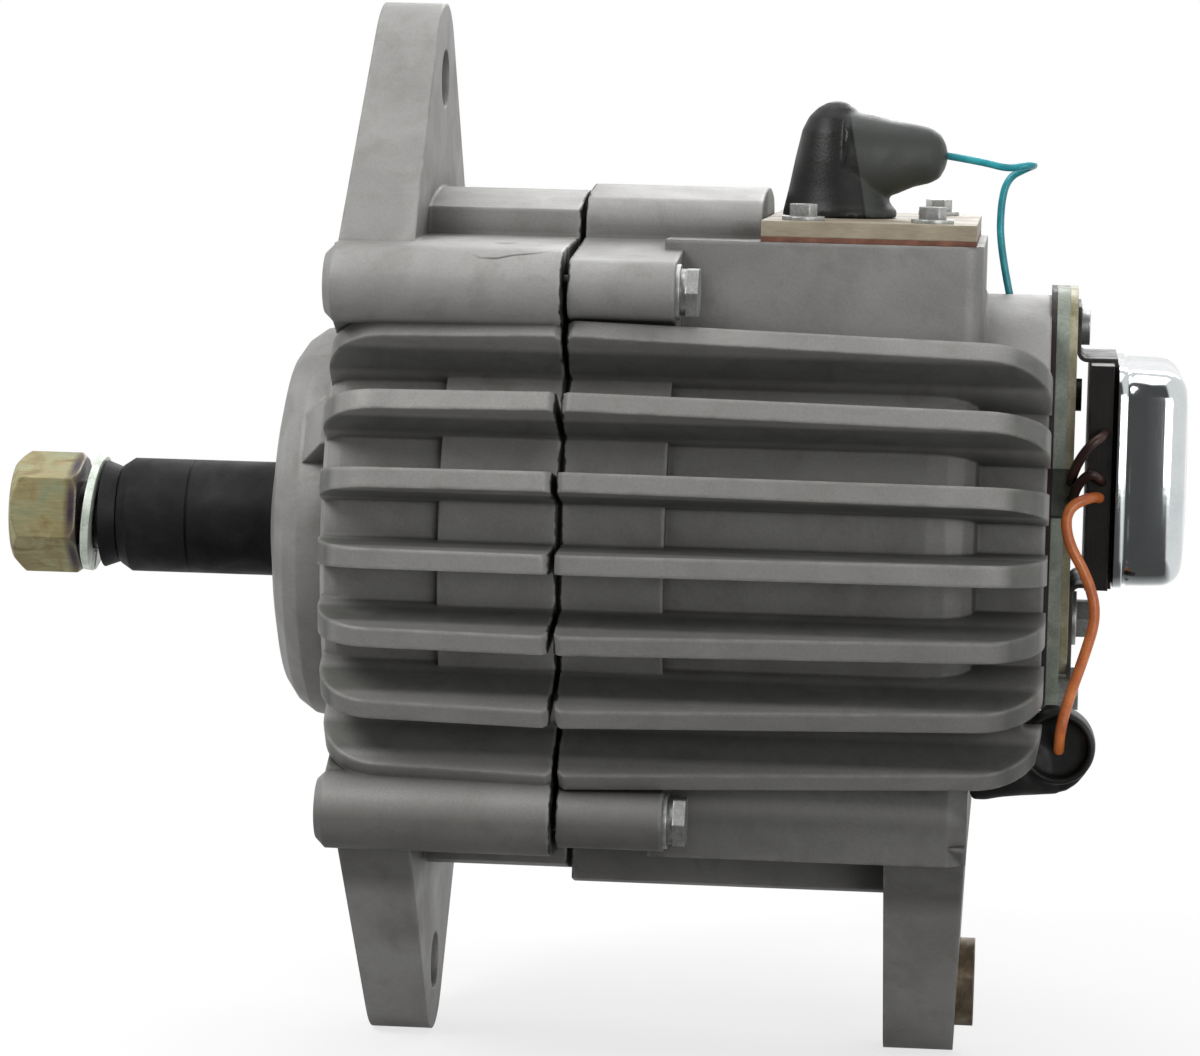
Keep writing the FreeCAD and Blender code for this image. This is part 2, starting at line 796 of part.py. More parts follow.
def ring_of(shape, count):
    """Copies of a shape spaced evenly about the shaft axis, as separate solids."""
    return Part.makeCompound([turned(shape, 360 * k / count) for k in range(count)])


def joint_seal():
    return tube(barrel_r + band_rise - seal_inset, seat_r + seal_inset, front_joint_x, rear_joint_x)


def through_bolt():
    """Hex bolt with its flat washer and split washer, along the shaft direction."""
    shank = rod(bolt_d / 2, joint_x - bolt_thread_depth + bolt_end_gap, rear_boss_end_x)
    split_x = rear_boss_end_x + flat_washer_thick
    head_x = split_x + split_washer_thick
    flat = rod(flat_washer_d / 2, rear_boss_end_x, split_x)
    split = rod(split_washer_d / 2, split_x, head_x)
    return fuse_all([shank, flat, split, hexagon_x(bolt_head_flats, head_x, head_x + bolt_head_high)])


def through_bolts():
    bolts = []
    for y, z in corners():
        bolt = through_bolt()
        bolt.translate(V(0, y, z))
        bolts.append(bolt)
    return Part.makeCompound(bolts)


# Stator and bearings


def stator_core():
    core = tube(stator_od / 2, stator_bore_r, stack_x0, stack_x1)
    slot = box(stack_x0 - over, stack_x1 + over, -slot_wide / 2, slot_wide / 2, stator_bore_r - over,
               stator_bore_r + slot_deep)
    return core.cut(ring_of(slot, slot_count))


def end_turns(x0, x1):
    """Ring of end turns, with one flat to each slot."""
    def sides(radius):
        angles = [2 * math.pi * k / slot_count for k in range(slot_count)]
        return prism_x([(radius * math.cos(a), radius * math.sin(a)) for a in angles], x0, x1)
    return sides(winding_outer_r).cut(sides(winding_inner_r))


def stator_windings():
    return Part.makeCompound([end_turns(stack_x0 - winding_high, stack_x0),
                              end_turns(stack_x1, stack_x1 + winding_high)])


def front_outer_ring():
    """Outer ring with its shields, which close the bearing down to the inner ring."""
    return tube(front_bearing_od / 2, inner_ring_od / 2 + running_gap, front_bearing_x, front_bearing_x1)


def front_inner_ring():
    return tube(inner_ring_od / 2, shaft_r, front_bearing_x, front_bearing_x1)


def rear_bearing():
    """Drawn cup filled by its needle rollers."""
    return tube(cup_out_r, shaft_r + running_gap, rear_bearing_x, rear_bearing_x + cup_wide)


# Shaft and rotor


def rotor_shaft():
    thread_end = -inner_sleeve_out - outer_sleeve_long + 2
    start_x = nut_x0 + shaft_recess
    end_x = ring_hub_x1 + shaft_past_rings
    profile = [
        (start_x, 0), (start_x, thread_d / 2), (thread_end, thread_d / 2), (thread_end, journal_r),
        (front_bearing_x1, journal_r), (front_bearing_x1, shaft_body_d / 2),
        (rear_bearing_x - seat_gap, shaft_body_d / 2), (rear_bearing_x - seat_gap, journal_r),
        (end_x, journal_r), (end_x, 0),
    ]
    return revolve_x(profile)


def inner_sleeve():
    return tube(sleeve_od / 2, shaft_r, -inner_sleeve_out, front_bearing_x)


def outer_sleeve():
    x0 = -inner_sleeve_out - outer_sleeve_long
    x1 = -inner_sleeve_out
    r = sleeve_od / 2
    return revolve_x([(x0, shaft_r), (x0, r - sleeve_bevel), (x0 + 1.5 * sleeve_bevel, r), (x1, r),
                      (x1, shaft_r)])


def spring_washer():
    """Split washer left leaning against the nut."""
    half = spring_washer_thick / 2
    slot_half = spring_washer_slot / 2
    ring = tube(spring_washer_od / 2, thread_d / 2 + spring_washer_play, -half, half)
    ring = ring.cut(box(-half - over, half + over, -slot_half, slot_half, -spring_washer_od, 0))
    ring.rotate(V(0, 0, 0), V(0, 1, 0), spring_washer_lean_deg)
    ring.translate(V(nut_x1 + spring_washer_off, 0, 0))
    return ring


def lock_washer():
    """Dished washer between the split washer and the sleeve."""
    x1 = nut_x1 + washer_room - seat_gap
    x0 = x1 - lock_washer_long
    return revolve_x([(x0, lock_washer_in_r), (x0, lock_washer_wide_r), (x1, lock_washer_narrow_r),
                      (x1, lock_washer_in_r)])


def pulley_nut():
    corner_r = nut_flats / 2 / math.cos(math.pi / 6)
    blank = hexagon_x(nut_flats, nut_x0, nut_x1, 0, 0, nut_turn_deg)
    bevelled = revolve_x([(nut_x0, 0), (nut_x0, corner_r - nut_front_bevel),
                          (nut_x0 + nut_front_bevel, corner_r), (nut_x1 - nut_rear_bevel, corner_r),
                          (nut_x1, corner_r - nut_rear_bevel), (nut_x1, 0)])
    return blank.common(bevelled).cut(rod(thread_d / 2 + running_gap, nut_x0 - over, nut_x1 + over))


def claw(root_x, tip_x):
    """One claw of a rotor pole, narrower and thinner toward its tip."""
    root_half = rotor_r * math.tan(math.radians(claw_root_deg / 2))
    tip_half = rotor_r * math.tan(math.radians(claw_tip_deg / 2))
    plan = [V(root_x, -root_half, 0), V(root_x, root_half, 0), V(tip_x, tip_half, 0), V(tip_x, -tip_half, 0)]
    blank = Part.Face(wire_of(plan)).extrude(V(0, 0, rotor_r + over))
    side = prism_y([(root_x, rotor_r - claw_root_thick), (root_x, rotor_r + over), (tip_x, rotor_r + over),
                    (tip_x, rotor_r - claw_tip_thick)], -root_half - over, root_half + over)
    return blank.common(side)


def rotor_pole(sign):
    """Pole half with its disc at the end that sign names, six claws and half of the core."""
    end = pole_x0 if sign < 0 else pole_x1
    disc_in = end - sign * pole_disc_thick
    tip = pole_x1 - claw_clearance if sign < 0 else pole_x0 + claw_clearance
    disc = rod(rotor_r - claw_root_thick + 2, *sorted((end, disc_in)))
    core = rod(pole_core_r, *sorted((disc_in, joint_x)))
    first_deg = 180 / pole_count if sign > 0 else 0
    claws = [turned(claw(end, tip), first_deg + 360 * k / pole_count) for k in range(pole_count)]
    solid = fuse_all([disc, core] + claws).common(rod(rotor_r, pole_x0 - over, pole_x1 + over))
    return solid.cut(rod(shaft_body_d / 2 + press_gap, pole_x0 - over, pole_x1 + over))


def field_coil():
    x0 = pole_x0 + pole_disc_thick + seat_gap
    x1 = pole_x1 - pole_disc_thick - seat_gap
    return tube(coil_out_r, pole_core_r + press_gap, x0, x1)


def slip_ring_hub():
    return tube(ring_hub_r, journal_r + press_gap, ring_hub_x, ring_hub_x1)


def slip_rings():
    return Part.makeCompound([tube(ring_r, ring_hub_r, x, x + ring_wide) for x in (ring_a_x, ring_b_x)])


# Brush gear


def brush_centres():
    return (ring_a_x + ring_wide / 2, ring_b_x + ring_wide / 2)


def brush_top_z():
    return ring_r + running_gap + brush_long


def brush(x):
    blank = box(x - brush_wide_x / 2, x + brush_wide_x / 2, -brush_wide_y / 2, brush_wide_y / 2,
                ring_r - over, brush_top_z())
    return blank.cut(rod(ring_r + running_gap, x - brush_wide_x, x + brush_wide_x))


def brush_spring(x):
    z0 = brush_top_z()
    outer = Part.makeCylinder(spring_od / 2, spring_rest, V(x, 0, z0))
    return outer.cut(Part.makeCylinder(spring_od / 2 - spring_wall, spring_rest, V(x, 0, z0)))


def brush_holder():
    flange = box(rear_face_x - rear_wall, rear_face_x, -opening_half_y + seat_gap, opening_half_y - seat_gap,
                 opening_low_z + seat_gap, opening_top_z - seat_gap)
    body = box(holder_front_x, rear_face_x, -holder_half_y, holder_half_y, holder_base_z, holder_top_z)
    solid = body.fuse(flange).removeSplitter()
    well_top = brush_top_z() + spring_rest
    for x in brush_centres():
        half_x = brush_wide_x / 2 + running_gap
        half_y = brush_wide_y / 2 + running_gap
        solid = solid.cut(box(x - half_x, x + half_x, -half_y, half_y, holder_base_z - over, well_top))
    return solid


# Terminal box cover, output stud and boot


def terminal_cover(z0, thick):
    """Plate on top of the terminal box with holes for the stud and four screws."""
    plate = box(terminal_plate_x0, terminal_plate_x1, -box_half_y, box_half_y, z0, z0 + thick)
    plate = plate.cut(Part.makeCylinder(stud_d / 2 + running_gap, thick + 2, V(stud_x, 0, z0 - over)))
    for x, y in terminal_screw_places():
        plate = plate.cut(Part.makeCylinder(screw_d / 2 + running_gap, thick + 2, V(x, y, z0 - over)))
    return plate


def terminal_screw_places():
    return [(x, y) for x in terminal_screw_x for y in (-terminal_screw_y, terminal_screw_y)]


def terminal_gasket():
    return terminal_cover(box_top_z, terminal_gasket_thick)


def terminal_plate():
    return terminal_cover(terminal_plate_z, terminal_plate_thick)


def terminal_screws():
    screws = []
    z = terminal_top_z
    low_z = box_top_z - screw_deep + end_room
    for x, y in terminal_screw_places():
        shank = Part.makeCylinder(screw_d / 2, z - low_z, V(x, y, low_z))
        flange = Part.makeCylinder(screw_flange_d / 2, screw_flange_high, V(x, y, z))
        screws.append(fuse_all([shank, flange, hexagon_z(screw_head_flats, z, z + screw_head_high, x, y)]))
    return Part.makeCompound(screws)


def output_stud():
    low_z = box_top_z - stud_down
    return Part.makeCylinder(stud_d / 2, terminal_top_z + stud_up - low_z, V(stud_x, 0, low_z))


def output_nut():
    nut = hexagon_z(stud_nut_flats, terminal_top_z, terminal_top_z + stud_nut_high, stud_x, 0)
    hole_low = V(stud_x, 0, terminal_top_z - over)
    return nut.cut(Part.makeCylinder(stud_d / 2 + running_gap, 2 * stud_nut_high, hole_low))


def terminal_boot():
    """Leaning rubber bell over the stud with a nozzle toward the regulator end."""
    z = terminal_top_z
    bell_rim = [V(stud_x, 0, z + boot_bell[0][0])]
    bell_rim += [V(stud_x + r, 0, z + up) for up, r in boot_bell]
    bell_rim.append(V(stud_x, 0, z + boot_bell[-1][0]))
    bell = Part.Face(wire_of(bell_rim)).revolve(V(stud_x, 0, z), V(0, 0, 1), 360)
    bell.rotate(V(stud_x, 0, z), V(0, 1, 0), -boot_lean_deg)
    nozzle_rim = [V(stud_x, 0, 0)] + [V(stud_x + dx, 0, r) for dx, r in boot_nozzle]
    tip_x = stud_x + boot_nozzle[-1][0]
    nozzle_rim.append(V(tip_x, 0, 0))
    nozzle = Part.Face(wire_of(nozzle_rim)).revolve(V(0, 0, 0), V(1, 0, 0), 360)
    nozzle.translate(V(0, 0, z + boot_nozzle_up))
    solid = bell.fuse(nozzle)
    reach = boot_nozzle[-1][0] + over
    solid = solid.cut(box(stud_x - reach, stud_x + reach, -reach, reach, z - boot_trim - over, z + boot_seat))
    solid = solid.cut(Part.makeCylinder(boot_nut_room_r, stud_nut_high + over, V(stud_x, 0, z)))
    solid = solid.cut(Part.makeCylinder(stud_d / 2 + seat_gap, stud_up + seat_gap, V(stud_x, 0, z)))
    end = sense_route()[0]
    return solid.cut(rod(sense_lead_d / 2 + running_gap, end[0] - seat_gap, tip_x + over, 0, end[2]))


# Rear cover stack


def rounded_plate(x0, x1, half_y, z0, z1, corner):
    plate = box(x0, x1, -half_y, half_y, z0, z1)
    return round_edges(plate, corner, lambda e: along(e, "x"))


def cover_piece(x0, thick, low_z, opening):
    plate = rounded_plate(x0, x0 + thick, cover_half_y, low_z, cover_top_z, cover_corner)
    for z in regulator_screw_z:
        plate = plate.cut(rod(regulator_screw_d / 2 + running_gap, x0 - over, x0 + thick + over, 0, z))
    if opening:
        notch_y = -cover_half_y + lead_notch_deep
        plate = plate.cut(box(x0 - over, x0 + thick + over, -cover_half_y - over, notch_y,
                              lead_notch_z0, lead_notch_z1))
    return plate


def with_cover_screw_holes(plate):
    for y in (-cover_screw_y, cover_screw_y):
        plate = plate.cut(rod(cover_screw_d / 2 + running_gap, rear_face_x - over, cover_x + over,
                              y, cover_screw_z))
    return plate


def rear_gasket():
    return with_cover_screw_holes(cover_piece(rear_face_x, rear_gasket_thick, spacer_low_z, False))


def spacer_plate():
    return with_cover_screw_holes(cover_piece(spacer_x, spacer_plate_thick, spacer_low_z, True))


def cover_plate():
    plate = cover_piece(cover_x, cover_plate_thick, cover_low_z, True)
    y = -cover_half_y + grommet_edge
    return plate.cut(rod(grommet_r - grommet_lip, cover_x - over, cover_rear_x + over, y, grommet_z))


def plate_grommet():
    y = -cover_half_y + grommet_edge
    plug = rod(grommet_r - grommet_lip - running_gap, cover_x + seat_gap, cover_rear_x, y, grommet_z)
    return plug.fuse(rod(grommet_r, cover_rear_x, cover_rear_x + grommet_out, y, grommet_z)).removeSplitter()


def cover_screws():
    screws = []
    for y in (-cover_screw_y, cover_screw_y):
        shank = rod(cover_screw_d / 2, rear_face_x - rear_wall + end_room, cover_x, y, cover_screw_z)
        head = hexagon_x(cover_screw_flats, cover_x, cover_x + cover_screw_high, y, cover_screw_z)
        screws.append(shank.fuse(head).removeSplitter())
    return Part.makeCompound(screws)


def regulator_bracket():
    """Bent strip: top tab, shelf over the base, web behind it, lower shelf and lower tab."""
    t = bracket_thick
    x = cover_rear_x
    web_x = can_x
    top = base_top_z
    low = base_low_z
    outline = [(x, bracket_top_z), (x + t, bracket_top_z), (x + t, top + t), (web_x + t, top + t),
               (web_x + t, low - t), (x + t, low - t), (x + t, bracket_low_z), (x, bracket_low_z),
               (x, low), (web_x, low), (web_x, top), (x, top)]
    strip = prism_y(outline, -bracket_half_y, bracket_half_y)

    def corner_at(px, heights):
        return [e for e in strip.Edges if along(e, "y") and abs(e.BoundBox.XMin - px) < 0.01
                and min(abs(e.BoundBox.ZMin - h) for h in heights) < 0.01]
    inside = corner_at(x + t, (top + t, low - t))
    outside = corner_at(x, (top, low))
    strip = strip.makeFillet(bracket_bend_r, inside)
    strip = round_edges(strip, bracket_bend_r + t, lambda e: any(same_edge(e, o) for o in outside))
    for z in regulator_screw_z:
        strip = strip.cut(rod(regulator_screw_d / 2 + running_gap, x - over, x + t + over, 0, z))
    return strip


def same_edge(first, second):
    return first.BoundBox.Center.sub(second.BoundBox.Center).Length < 0.01


def regulator_screws():
    """Round head screw above and hex screw with its washer below, both into the end wall."""
    x = bracket_rear_x
    upper_z, lower_z = regulator_screw_z
    start_x = rear_face_x - rear_wall + end_room
    shanks = [rod(regulator_screw_d / 2, start_x, x, 0, z) for z in regulator_screw_z]
    round_head = rod(regulator_round_d / 2, x, x + regulator_round_high, 0, upper_z)
    washer = rod(regulator_washer_d / 2, x, x + regulator_washer_thick, 0, lower_z)
    hex_x = x + regulator_washer_thick
    hex_head = hexagon_x(regulator_screw_flats, hex_x, hex_x + regulator_screw_high, 0, lower_z)
    return Part.makeCompound([fuse_all([shanks[0], round_head]), fuse_all([shanks[1], washer, hex_head])])


def regulator_base():
    return box(base_x0, can_x, -base_half_y, base_half_y, base_low_z, base_top_z)


def regulator_can():
    x0 = can_x + bracket_thick
    x1 = x0 + can_deep
    body = box(x0, x1, -can_half_y, can_half_y, base_low_z, base_top_z)
    body = round_edges(body, can_corner, lambda e: along(e, "x"))
    return round_edges(body, can_edge, lambda e: e.BoundBox.XMin > x1 - 0.01)


# Lower boot and its stud


def low_bell(grow):
    """Slanted cone from the block's rear face up to the elbow, larger all round by grow."""
    foot = V(block_rear_x, low_stud_y, low_stud_z)
    way = V(low_elbow_x, low_stud_y + low_bell_shift_y, low_elbow_z - low_bell_drop).sub(foot)
    long = way.Length
    way.normalize()
    start = foot.sub(way * low_bell_past)
    return Part.makeCone(low_bell_r + grow, low_bell_end_r + grow, long + low_bell_past, start, way)


def low_boot_room(x0, x1):
    half = low_boot_half_span
    return box(x0, x1, low_stud_y - half, low_stud_y + half, low_stud_z - half, low_stud_z + half)


def low_boot_reliefs():
    """Room for the boot in the drum: a groove for its bell and a spot face for its elbow."""
    middle_y = (low_elbow_back_y + low_elbow_end_y) / 2
    half = (low_elbow_back_y - low_elbow_end_y) / 2
    reach = math.hypot(half, low_boot_end_r) + low_boot_gap
    groove = low_bell(low_boot_gap).common(low_boot_room(block_rear_x, rear_face_x + over))
    face_x = low_elbow_x - low_boot_end_r - low_boot_gap
    return [groove, rod(reach, face_x, rear_face_x + over, middle_y, low_elbow_z)]


def low_boot():
    bell = low_bell(0.0).common(low_boot_room(block_rear_x + seat_gap, low_elbow_x))
    bevel = low_elbow_bevel
    rim = [(low_elbow_end_y, 0), (low_elbow_end_y, low_boot_end_r - bevel),
           (low_elbow_end_y + bevel, low_boot_end_r), (low_elbow_back_y - 1.5 * bevel, low_boot_end_r),
           (low_elbow_back_y, low_boot_end_r - 1.5 * bevel), (low_elbow_back_y, 0)]
    face = Part.Face(wire_of([V(low_elbow_x + r, y, low_elbow_z) for y, r in rim]))
    elbow = face.revolve(V(low_elbow_x, 0, low_elbow_z), V(0, 1, 0), 360)
    hole = Part.makeCylinder(low_boot_hole_r, low_boot_hole_deep,
                             V(low_elbow_x, low_elbow_end_y, low_elbow_z), V(0, 1, 0))
    socket = rod(low_stud_d / 2 + running_gap, block_rear_x - over, block_rear_x + low_stud_out + seat_gap,
                 low_stud_y, low_stud_z)
    return fuse_all([bell, elbow]).cut(hole).cut(socket)


def low_stud():
    return rod(low_stud_d / 2, block_rear_x - low_stud_in, block_rear_x + low_stud_out,
               low_stud_y, low_stud_z)


def hinge_bushing():
    x1 = rear_foot_rear_x - rear_foot_lean + hinge_bush_out
    x0 = rear_foot_x + hinge_bush_in
    return tube(hinge_bush_d / 2, foot_bore_d / 2, x0, x1, 0, -foot_bore_z)


# Leads: straight runs joined by tangent arcs


def lead_path(points):
    """Wire along the points with an arc at each inner one, and the arc radii."""
    places = [V(*p) for p in points]
    edges = []
    radii = []
    start = places[0]
    for before, corner, after in zip(places, places[1:], places[2:]):
        back = before.sub(corner)
        ahead = after.sub(corner)
        turn = math.pi - back.getAngle(ahead)
        cut_back = bend_share * min(back.Length, ahead.Length)
        radii.append(cut_back / math.tan(turn / 2))
        back.normalize()
        ahead.normalize()
        first = corner.add(back * cut_back)
        last = corner.add(ahead * cut_back)
        middle_way = (back + ahead).normalize()
        middle = corner.add(middle_way * (radii[-1] / math.cos(turn / 2) - radii[-1]))
        edges.append(Part.LineSegment(start, first).toShape())
        edges.append(Part.Arc(first, middle, last).toShape())
        start = last
    edges.append(Part.LineSegment(start, places[-1]).toShape())
    return Part.Wire(edges), radii


def lead_tube(name, points, diameter):
    path, radii = lead_path(points)
    direction = V(*points[1]).sub(V(*points[0]))
    section = Part.Wire(Part.makeCircle(diameter / 2, V(*points[0]), direction))
    solid = path.makePipeShell([section], True, True)
    ideal = math.pi * diameter ** 2 / 4 * path.Length
    print(name, "radii", [round(r, 2) for r in radii], "length", round(path.Length, 2),
          "volume over section times length", round(solid.Volume / ideal, 4))
    return solid


def shifted(bends, x, y, z):
    return [(x + dx, y + dy, z + dz) for dx, dy, dz in bends]


def sense_route():
    """Thin lead from the top boot, folded back on itself, down into the drum."""
    tip_x = stud_x + boot_nozzle[-1][0]
    return shifted(sense_bends, tip_x, 0, terminal_top_z + boot_nozzle_up + lead_up)


def field_routes():
    """Two short leads from the notch in the covers into the near face of the regulator base."""
    start = (cover_x + field_lead_d / 2 + seat_gap, -cover_half_y + lead_notch_deep, lead_notch_z0)
    end = (base_x0, -base_half_y, 0)
    high = shifted(field_high_bends, *start) + shifted(field_high_ends, *end)
    low = shifted(field_low_bends, *start) + shifted(field_low_ends, *end)
    return high, low


def regulator_route():
    """Lead from the regulator base over the cover edge and down into the lower boot."""
    end = (low_elbow_x + lead_up, low_elbow_end_y + low_boot_hole_deep, low_elbow_z - lead_up)
    return shifted(regulator_bends, base_x0, -base_half_y, 0) + [end]


def build():
    os.makedirs("parts", exist_ok=True)
    high, low = field_routes()
    inner_x, outer_x = brush_centres()
    parts = {
        "front_housing": front_housing(),
        "rear_housing": rear_housing(),
        "joint_seal": joint_seal(),
        "through_bolts": through_bolts(),
        "stator_core": stator_core(),
        "stator_windings": stator_windings(),
        "front_bearing_outer_ring": front_outer_ring(),
        "front_bearing_inner_ring": front_inner_ring(),
        "rear_bearing": rear_bearing(),
        "rotor_shaft": rotor_shaft(),
        "spacer_sleeve_inner": inner_sleeve(),
        "spacer_sleeve_outer": outer_sleeve(),
        "spring_washer": spring_washer(),
        "lock_washer": lock_washer(),
        "pulley_nut": pulley_nut(),
        "rotor_pole_front": rotor_pole(-1),
        "rotor_pole_rear": rotor_pole(1),
        "field_coil": field_coil(),
        "slip_ring_hub": slip_ring_hub(),
        "slip_rings": slip_rings(),
        "brush_inner": brush(inner_x),
        "brush_outer": brush(outer_x),
        "brush_spring_inner": brush_spring(inner_x),
        "brush_spring_outer": brush_spring(outer_x),
        "brush_holder": brush_holder(),
        "terminal_gasket": terminal_gasket(),
        "terminal_plate": terminal_plate(),
        "terminal_screws": terminal_screws(),
        "output_stud": output_stud(),
        "output_nut": output_nut(),
        "terminal_boot": terminal_boot(),
        "rear_gasket": rear_gasket(),
        "spacer_plate": spacer_plate(),
        "cover_plate": cover_plate(),
        "plate_grommet": plate_grommet(),
        "cover_screws": cover_screws(),
        "regulator_bracket": regulator_bracket(),
        "regulator_screws": regulator_screws(),
        "regulator_base": regulator_base(),
        "regulator_can": regulator_can(),
        "lower_boot": low_boot(),
        "lower_stud": low_stud(),
        "hinge_bushing": hinge_bushing(),
        "sense_lead": lead_tube("sense lead", sense_route(), sense_lead_d),
        "field_lead_high": lead_tube("high field lead", high, field_lead_d),
        "field_lead_low": lead_tube("low field lead", low, field_lead_d),
        "regulator_lead": lead_tube("regulator lead", regulator_route(), regulator_lead_d),
    }
    for name, shape in parts.items():
        save(name, shape)


build()
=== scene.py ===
import json
import math
import bmesh
import bpy
from mathutils import Matrix, Vector


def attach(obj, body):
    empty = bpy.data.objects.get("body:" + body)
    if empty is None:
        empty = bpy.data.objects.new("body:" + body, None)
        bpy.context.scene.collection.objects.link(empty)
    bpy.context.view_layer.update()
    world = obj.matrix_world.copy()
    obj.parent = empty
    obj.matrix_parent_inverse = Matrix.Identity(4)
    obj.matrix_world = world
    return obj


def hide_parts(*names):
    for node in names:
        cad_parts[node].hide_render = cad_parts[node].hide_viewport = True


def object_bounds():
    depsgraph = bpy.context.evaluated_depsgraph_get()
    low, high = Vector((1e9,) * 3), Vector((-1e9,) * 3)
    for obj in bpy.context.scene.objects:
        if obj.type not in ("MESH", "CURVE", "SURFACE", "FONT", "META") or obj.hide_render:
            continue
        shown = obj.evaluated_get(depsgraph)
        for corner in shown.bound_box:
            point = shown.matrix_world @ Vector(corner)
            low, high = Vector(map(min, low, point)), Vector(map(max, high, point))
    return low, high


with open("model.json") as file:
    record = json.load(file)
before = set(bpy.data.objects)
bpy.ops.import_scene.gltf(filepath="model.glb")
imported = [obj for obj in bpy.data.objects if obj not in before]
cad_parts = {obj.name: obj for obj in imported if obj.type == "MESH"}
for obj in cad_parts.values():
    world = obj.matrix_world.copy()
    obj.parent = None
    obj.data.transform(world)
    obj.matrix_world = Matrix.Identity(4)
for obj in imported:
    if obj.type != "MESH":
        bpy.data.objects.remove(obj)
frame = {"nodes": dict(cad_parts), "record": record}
cad_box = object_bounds()
nodes = frame["nodes"]

MM = 0.001

# Camera fitted to the photograph: place in metres, angles in degrees
CAMERA_PLACE = (0.169662, -1.035780, 0.104566)
CAMERA_YAW = -5.3073
CAMERA_PITCH = -5.7262
CAMERA_ROLL = 1.3142
FOCAL_PX = 4589.66
PHOTO_WIDTH = 1200
SENSOR_WIDTH = 36.0

# World strength at the horizon and overhead, and the direction's height where it is full
WORLD_LOW = 0.16
WORLD_HIGH = 0.62
WORLD_TOP = 0.9

# Soft square lamps: place, target, side in metres, power in watts
LAMPS = {
    "key": ((-0.75, -0.80, 1.05), (0.07, 0, 0), 0.6, 14.5),
    "fill": ((0.80, -1.20, 0.12), (0.08, 0, 0), 0.7, 6.8),
    "top": ((0.10, 0.05, 1.3), (0.08, 0, 0), 0.9, 5),
    "back": ((0.35, 1.20, 0.80), (0.08, 0, 0), 0.8, 11),
}

# Dark cards that only reflections see: their brightness, the slant of their edge and its
# fades, and where they start on the floor and in the world
CARD_SHINE = 0.09
CARD_SLANT = 0.42
CARD_SIDE_FADE = 0.1
CARD_BACK_FADE = 0.2
FLOOR_CARD_X = 0.23
FLOOR_CARD_Y = -0.05
WORLD_CARD_Y = -0.15

# Floor: half width, middle of the shaded patch, where it fades to white, its least glow, and
# how much of the diffuse bounce is taken off
FLOOR_HALF = 4.0
FLOOR_MIDDLE_X = 0.08
FLOOR_FADE = (0.10, 0.40)
FLOOR_GLOW = 0.72
BOUNCE_CUT = 0.4

# Leads: diameter and real length in metres, route in mm
SENSE_D = 1.7 * MM
SENSE_ROUTE = (
    (148.3, 0, 86.9), (157.9, 0, 85.5), (163.4, -0.4, 84.1), (168.2, -0.2, 85.0),
    (169.5, 3.2, 85.0), (168.0, 6.4, 84.4), (163.4, 6.4, 82.0), (162.0, 6.2, 76.0),
    (162.2, 5.6, 66.0), (165.0, 5, 54.2),
)
REGULATOR_D = 2.4 * MM
REGULATOR_ROUTE = (
    (185.7, -30, 13.4), (184.3, -36, 14.4), (178.5, -37.6, 11.6), (178.9, -37.4, 4.6),
    (183.7, -37.2, -3.4), (186.0, -37.8, -11.4), (183.5, -41.2, -20.2), (180.5, -46, -28.4),
    (178.5, -50.6, -36), (178.6, -43.5, -40.6),
)
FIELD_D = 2.2 * MM
FIELD_HIGH_ROUTE = (
    (179.6, -18, 15.6), (179.4, -29, 16.4), (180.4, -33.6, 20.6), (183.0, -35.4, 25),
    (186.2, -34.2, 27.4), (186.8, -30, 27.6),
)
FIELD_LOW_ROUTE = (
    (179.6, -18, 11.6), (179.9, -29, 12.6), (180.8, -32.4, 16.2), (183.4, -34.4, 19.2),
    (185.8, -33.2, 18), (186.2, -30, 17),
)
LEAD_ORDER = 3
LEAD_SIDES = 6
LEAD_STEPS = 16

# Terminal boot, in mm: bell rings as height, left and right edge, then nozzle rings as place,
# low and high edge
BOOT_FOOT = 72.6
BOOT_BELL = (
    (0.0, 113.1, 139.0), (1.6, 113.4, 138.7), (2.9, 113.7, 137.4), (6.5, 114.5, 136.0),
    (12.8, 115.7, 134.6), (19.1, 117.1, 132.4), (22.2, 118.6, 130.6), (24.2, 120.6, 128.8),
    (25.3, 122.6, 127.2), (25.7, 124.2, 125.8),
)
BOOT_NOZZLE = (
    (127.0, 2.6, 23.9), (131.4, 3.1, 23.0), (134.0, 3.6, 22.5), (138.8, 5.3, 21.6),
    (142.4, 6.9, 21.0), (146.0, 7.8, 20.2), (148.2, 9.0, 18.8), (149.4, 11.2, 16.7),
    (149.9, 13.2, 14.6),
)
BOOT_NOZZLE_WIDE = 0.93
BOOT_NOZZLE_POWER = 2.3
BOOT_VOXEL = 0.55 * MM
BOOT_PASSES = 3

# Lower boot, in mm: cap rings as place along Y and radius, body and bell rings as place along
# X, low, high, front and back edge
CAP_CENTRE = (178.4, -39.9)
CAP_RINGS = (
    (-35.2, 7.0), (-35.6, 8.0), (-41.0, 8.2), (-45.4, 8.1), (-46.3, 7.8), (-46.7, 7.2),
    (-46.3, 6.6), (-43.6, 6.3), (-43.4, 2.0),
)
BODY_RINGS = (
    (175.1, -50.9, -31.4, -42.2, -35.4), (178.0, -50.8, -31.4, -42.2, -35.2),
    (180.6, -50.1, -32.2, -42.2, -35.3), (182.8, -48.5, -33.4, -42.2, -35.4),
    (184.7, -46.1, -35.0, -42.0, -35.6), (186.0, -43.2, -37.0, -41.8, -35.9),
)
BODY_POWER = 3.0
BELL_RINGS = (
    (159.6, -51.2, -42.9, -45.6, -37.4), (160.4, -52.3, -41.8, -46.7, -36.3),
    (163.0, -52.3, -41.7, -46.8, -36.2), (166.4, -51.6, -41.2, -46.8, -36.2),
    (171.0, -51.1, -39.8, -46.6, -36.0), (178.5, -50.9, -37.0, -42.6, -36.0),
)
BELL_POWER = 2.2
